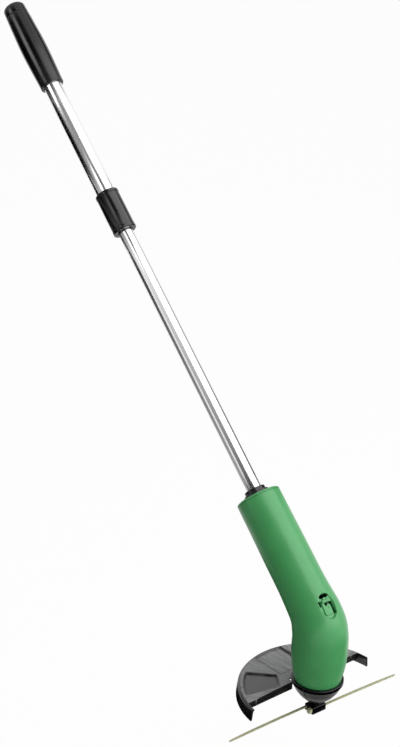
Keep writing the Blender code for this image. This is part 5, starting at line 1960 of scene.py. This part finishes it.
@dataclass(frozen=True)
class Studio:
    """The floor, the light and the camera."""

    floor_drop: float = 0.12
    floor_size: float = 30.0
    floor_share: float = 0.97
    floor_grey: float = 0.9
    grounds: tuple[Ground, ...] = (
        Ground(-0.6, 0.6, 0.08, 0.8),
        Ground(0.1, 0.6, -0.2, 0.08),
        Ground(-0.4, 0.6, -0.45, -0.2),
        Ground(-0.3, 0.1, -0.2, 0.08, 0.5),
    )
    ground_lift: float = 0.01
    card_grey: float = 0.003
    ambient: float = 0.2
    lens: float = 69.24
    sensor: float = 36.0
    camera_spot: Triple = (1.0307, 1.6153, 0.3288)
    sight: Triple = (0.5885, 0.7131, 0.3811)
    roll_deg: float = 1.92
    lamps: tuple[Panel, ...] = (
        Panel("key_lamp", 54.0, 2.4, (-0.9, 1.5), distance=1.4, glow=1.8),
        Panel("collar_streak", -20.0, 0.16, (0.73, 0.82), distance=0.5, glow=1.5),
        Panel("grip_streak", -43.0, 0.22, (1.0, 1.22), distance=0.5, glow=2.4),
    )
    cards: tuple[Panel, ...] = (
        Panel("body_left_card", -64.0, 0.39, BESIDE_BODY),
        Panel("body_card", -4.0, 0.37, BESIDE_BODY),
        Panel("low_left_card", -94.0, 0.34, BESIDE_LOWER_TUBE, (0.6, 1.0)),
        Panel("low_card", -14.0, 0.32, BESIDE_LOWER_TUBE, (0.85, 0.2)),
        Panel("low_right_card", 118.0, 0.29, BESIDE_LOWER_TUBE, (0.9, 0.3)),
        Panel("collar_left_card", -115.0, 0.32, BESIDE_COLLAR),
        Panel("collar_half_card", -60.0, 0.32, BESIDE_COLLAR, (0.5, 0.5)),
        Panel("collar_card", 9.0, 0.17, BESIDE_COLLAR),
        Panel("collar_right_card", 112.0, 0.13, BESIDE_COLLAR, (0.6, 0.6)),
        Panel("upper_left_card", -100.0, 0.43, BESIDE_UPPER_TUBE),
        Panel("upper_card", -25.0, 0.55, BESIDE_UPPER_TUBE, (0.75, 0.75)),
        Panel("grip_left_card", -94.0, 0.4, BESIDE_GRIP),
        Panel("grip_card", -8.0, 0.21, BESIDE_GRIP),
        Panel("grip_right_card", 107.0, 0.11, BESIDE_GRIP),
    )

    def white_behind(self, tree: bpy.types.NodeTree, own: Socket,
                     pale: Socket) -> Socket:
        """Mix a shader with plain white for what the camera, gloss and glass see.

        Args:
            tree: the node tree.
            own: the shader that lights the object.
            pale: the white shader.

        Returns:
            The mixed shader's output.
        """
        path = tree.nodes.new("ShaderNodeLightPath")
        total = path.outputs["Is Camera Ray"]
        for name in ("Is Glossy Ray", "Is Transmission Ray"):
            add = tree.nodes.new("ShaderNodeMath")
            add.operation = "ADD"
            add.use_clamp = True
            tree.links.new(total, add.inputs[0])
            tree.links.new(path.outputs[name], add.inputs[1])
            total = add.outputs[0]
        mix = tree.nodes.new("ShaderNodeMixShader")
        tree.links.new(total, mix.inputs["Fac"])
        tree.links.new(own, mix.inputs[1])
        tree.links.new(pale, mix.inputs[2])
        return mix.outputs[0]

    def world(self) -> None:
        """Make the world: an even soft light, with white behind."""
        world = bpy.data.worlds.new("studio")
        bpy.context.scene.world = world
        world.use_nodes = True
        tree = world.node_tree
        soft = tree.nodes["Background"]
        soft.inputs["Color"].default_value = WHITE
        soft.inputs["Strength"].default_value = self.ambient
        pale = tree.nodes.new("ShaderNodeBackground")
        pale.inputs["Color"].default_value = WHITE
        result = self.white_behind(tree, soft.outputs[0], pale.outputs[0])
        tree.links.new(result, tree.nodes["World Output"].inputs["Surface"])

    def sheet(self, name: str, centre: Array, side: Array, along: Array) -> bpy.types.Object:
        """Make a flat staged rectangle.

        Args:
            name: its name.
            centre: its middle.
            side: from the middle to one side.
            along: from the middle to one end.

        Returns:
            The object.
        """
        mesh = bpy.data.meshes.new(name)
        corners = [centre - side - along, centre + side - along, centre + side + along, centre - side + along]
        mesh.from_pydata(corners, [], [(0, 1, 2, 3)])
        mesh.uv_layers.new(name=SHEET_UV).data.foreach_set("uv", (0, 0, 1, 0, 1, 1, 0, 1))
        made = bpy.data.objects.new(name, mesh)
        bpy.context.scene.collection.objects.link(made)
        made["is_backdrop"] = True
        return made

    def floor(self, low: float) -> None:
        """Lay the pale floor, which keeps a soft shadow.

        Args:
            low: the height of the object's lowest point.
        """
        half = self.floor_size / 2.0
        centre = np.array([0.0, 0.0, low - self.floor_drop])
        made = self.sheet("floor", centre, np.array([half, 0.0, 0.0]), np.array([0.0, half, 0.0]))
        shader = Shader("pale_floor")
        grey = self.floor_grey
        shader.fix(Base_Color=(grey, grey, grey, 1.0), Roughness=0.9, Specular_IOR_Level=0.0)
        glow = shader.node("ShaderNodeEmission", Color=WHITE, Strength=1.0)
        share = shader.node("ShaderNodeMixShader", Fac=self.floor_share)
        shader.link(shader.surface.outputs[0], share.inputs[1])
        shader.link(glow.outputs[0], share.inputs[2])
        result = self.white_behind(shader.tree, shader.surface.outputs[0], share.outputs[0])
        shader.link(result, shader.output.inputs["Surface"])
        made.data.materials.append(shader.material)

    def beside(self, panel: Panel, bench: Bench) -> tuple[Array, Array, Array, Array]:
        """Return a panel's middle and its three directions: out, sideways and along the pole.

        The panel's turn is measured round the pole from the camera's side towards the right of
        the picture.

        Args:
            panel: the panel.
            bench: the bench.

        Returns:
            The middle and the directions.
        """
        along = bench.pole_axis
        toward = np.array(self.sight) - along * float(np.dot(self.sight, along))
        toward /= np.linalg.norm(toward)
        right = np.cross(along, toward)
        angle = math.radians(panel.turn_deg)
        out = math.cos(angle) * toward + math.sin(angle) * right
        side = np.cross(along, out)
        middle = bench.pole.origin + along * (sum(panel.span) / 2.0) + out * panel.distance
        return middle, out, side, along

    def darken(self, made: bpy.types.Object, shades: Pair) -> None:
        """Make a sheet a dark card that only polished surfaces see.

        Args:
            made: the sheet.
            shades: how much it hides of what lies behind it at its two ends, from 0 to 1.
        """
        shader = Shader("dark_card")
        grey = self.card_grey
        shader.fix(Base_Color=(grey, grey, grey, 1.0), Roughness=1.0, Specular_IOR_Level=0.0)
        where = shader.node("ShaderNodeUVMap", uv_map=SHEET_UV)
        split = shader.node("ShaderNodeSeparateXYZ")
        shader.link(where.outputs["UV"], split.inputs[0])
        thin = shader.node("ShaderNodeMapRange", To_Min=shades[0], To_Max=shades[1])
        shader.link(split.outputs["Y"], thin.inputs["Value"])
        mix = shader.node("ShaderNodeMixShader")
        shader.link(thin.outputs["Result"], mix.inputs["Fac"])
        shader.link(shader.node("ShaderNodeBsdfTransparent").outputs[0], mix.inputs[1])
        shader.link(shader.surface.outputs[0], mix.inputs[2])
        shader.link(mix.outputs[0], shader.output.inputs["Surface"])
        made.data.materials.append(shader.material)
        made.visible_camera = False
        made.visible_diffuse = False
        made.visible_shadow = False
        made.visible_transmission = False

    def card(self, panel: Panel, bench: Bench) -> None:
        """Hang a dark card beside the pole.

        Args:
            panel: the card's size and place.
            bench: where the frames are.
        """
        middle, _, side, along = self.beside(panel, bench)
        half = (panel.span[1] - panel.span[0]) / 2.0
        made = self.sheet(panel.name, middle, side * panel.width / 2.0, along * half)
        self.darken(made, panel.shades)

    def darken_ground(self, bench: Bench, low: float) -> None:
        """Lay dark cards over the floor round the head, so that walls facing them reflect dark ground.

        Args:
            bench: where the frames are.
            low: the height of the object's lowest point.
        """
        for ground in self.grounds:
            centre = np.array([(ground.left + ground.right) / 2.0,
                               bench.head.origin[1] + (ground.near + ground.far) / 2.0,
                               low - self.floor_drop + self.ground_lift])
            side = np.array([(ground.right - ground.left) / 2.0, 0.0, 0.0])
            along = np.array([0.0, (ground.far - ground.near) / 2.0, 0.0])
            self.darken(self.sheet("ground_card", centre, side, along), (ground.shade, ground.shade))

    def lamp(self, panel: Panel, bench: Bench) -> None:
        """Hang a soft lamp that faces the pole; its power gives the panel's glow over its face.

        Args:
            panel: the lamp's size, place and glow.
            bench: where the frames are.
        """
        middle, out, _, along = self.beside(panel, bench)
        data = bpy.data.lights.new(panel.name, "AREA")
        data.shape = "RECTANGLE"
        data.size = panel.width
        data.size_y = panel.span[1] - panel.span[0]
        data.energy = panel.glow * math.pi * data.size * data.size_y
        made = bpy.data.objects.new(panel.name, data)
        bpy.context.scene.collection.objects.link(made)
        axes = np.stack([np.cross(along, out), along, out], axis=1)
        made.matrix_world = Matrix.Translation(Vector(middle)) @ Matrix(axes.tolist()).to_4x4()

    def camera(self) -> None:
        """Set up the camera at the photograph's viewing angle."""
        data = bpy.data.cameras.new("camera")
        data.lens = self.lens
        data.sensor_width = self.sensor
        made = bpy.data.objects.new("camera", data)
        bpy.context.scene.collection.objects.link(made)
        turn = Vector(self.sight).to_track_quat("Z", "Y").to_matrix()
        turn = turn @ Matrix.Rotation(math.radians(self.roll_deg), 3, "Z")
        made.matrix_world = Matrix.Translation(Vector(self.camera_spot)) @ turn.to_4x4()
        bpy.context.scene.camera = made

    def build(self, bench: Bench, low: float) -> None:
        """Set up the whole studio.

        Args:
            bench: the bench.
            low: the height of the object's lowest point.
        """
        bpy.context.scene.view_settings.view_transform = "Standard"
        self.world()
        self.floor(low)
        for panel in self.lamps:
            self.lamp(panel, bench)
        for panel in self.cards:
            self.card(panel, bench)
        self.darken_ground(bench, low)
        self.camera()


def main() -> None:
    """Build the trimmer's sub-assemblies in order, then the studio round them."""
    logging.basicConfig(level=logging.INFO, format="%(name)s: %(message)s")
    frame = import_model()
    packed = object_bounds()
    bench = Bench(frame)
    shape = BodyShape(bench.lean, bench.elbow_height)
    assemblies = (Pole(), TwistLock(), Grip(), MotorBody(shape, Switch()), Cup(), Guard(), Rotor(), Drive())
    for assembly in assemblies:
        log.info("building %s", type(assembly).__name__)
        assembly.build(bench)
    Studio().build(bench, packed[0].z)


if __name__ == "__main__":
    main()
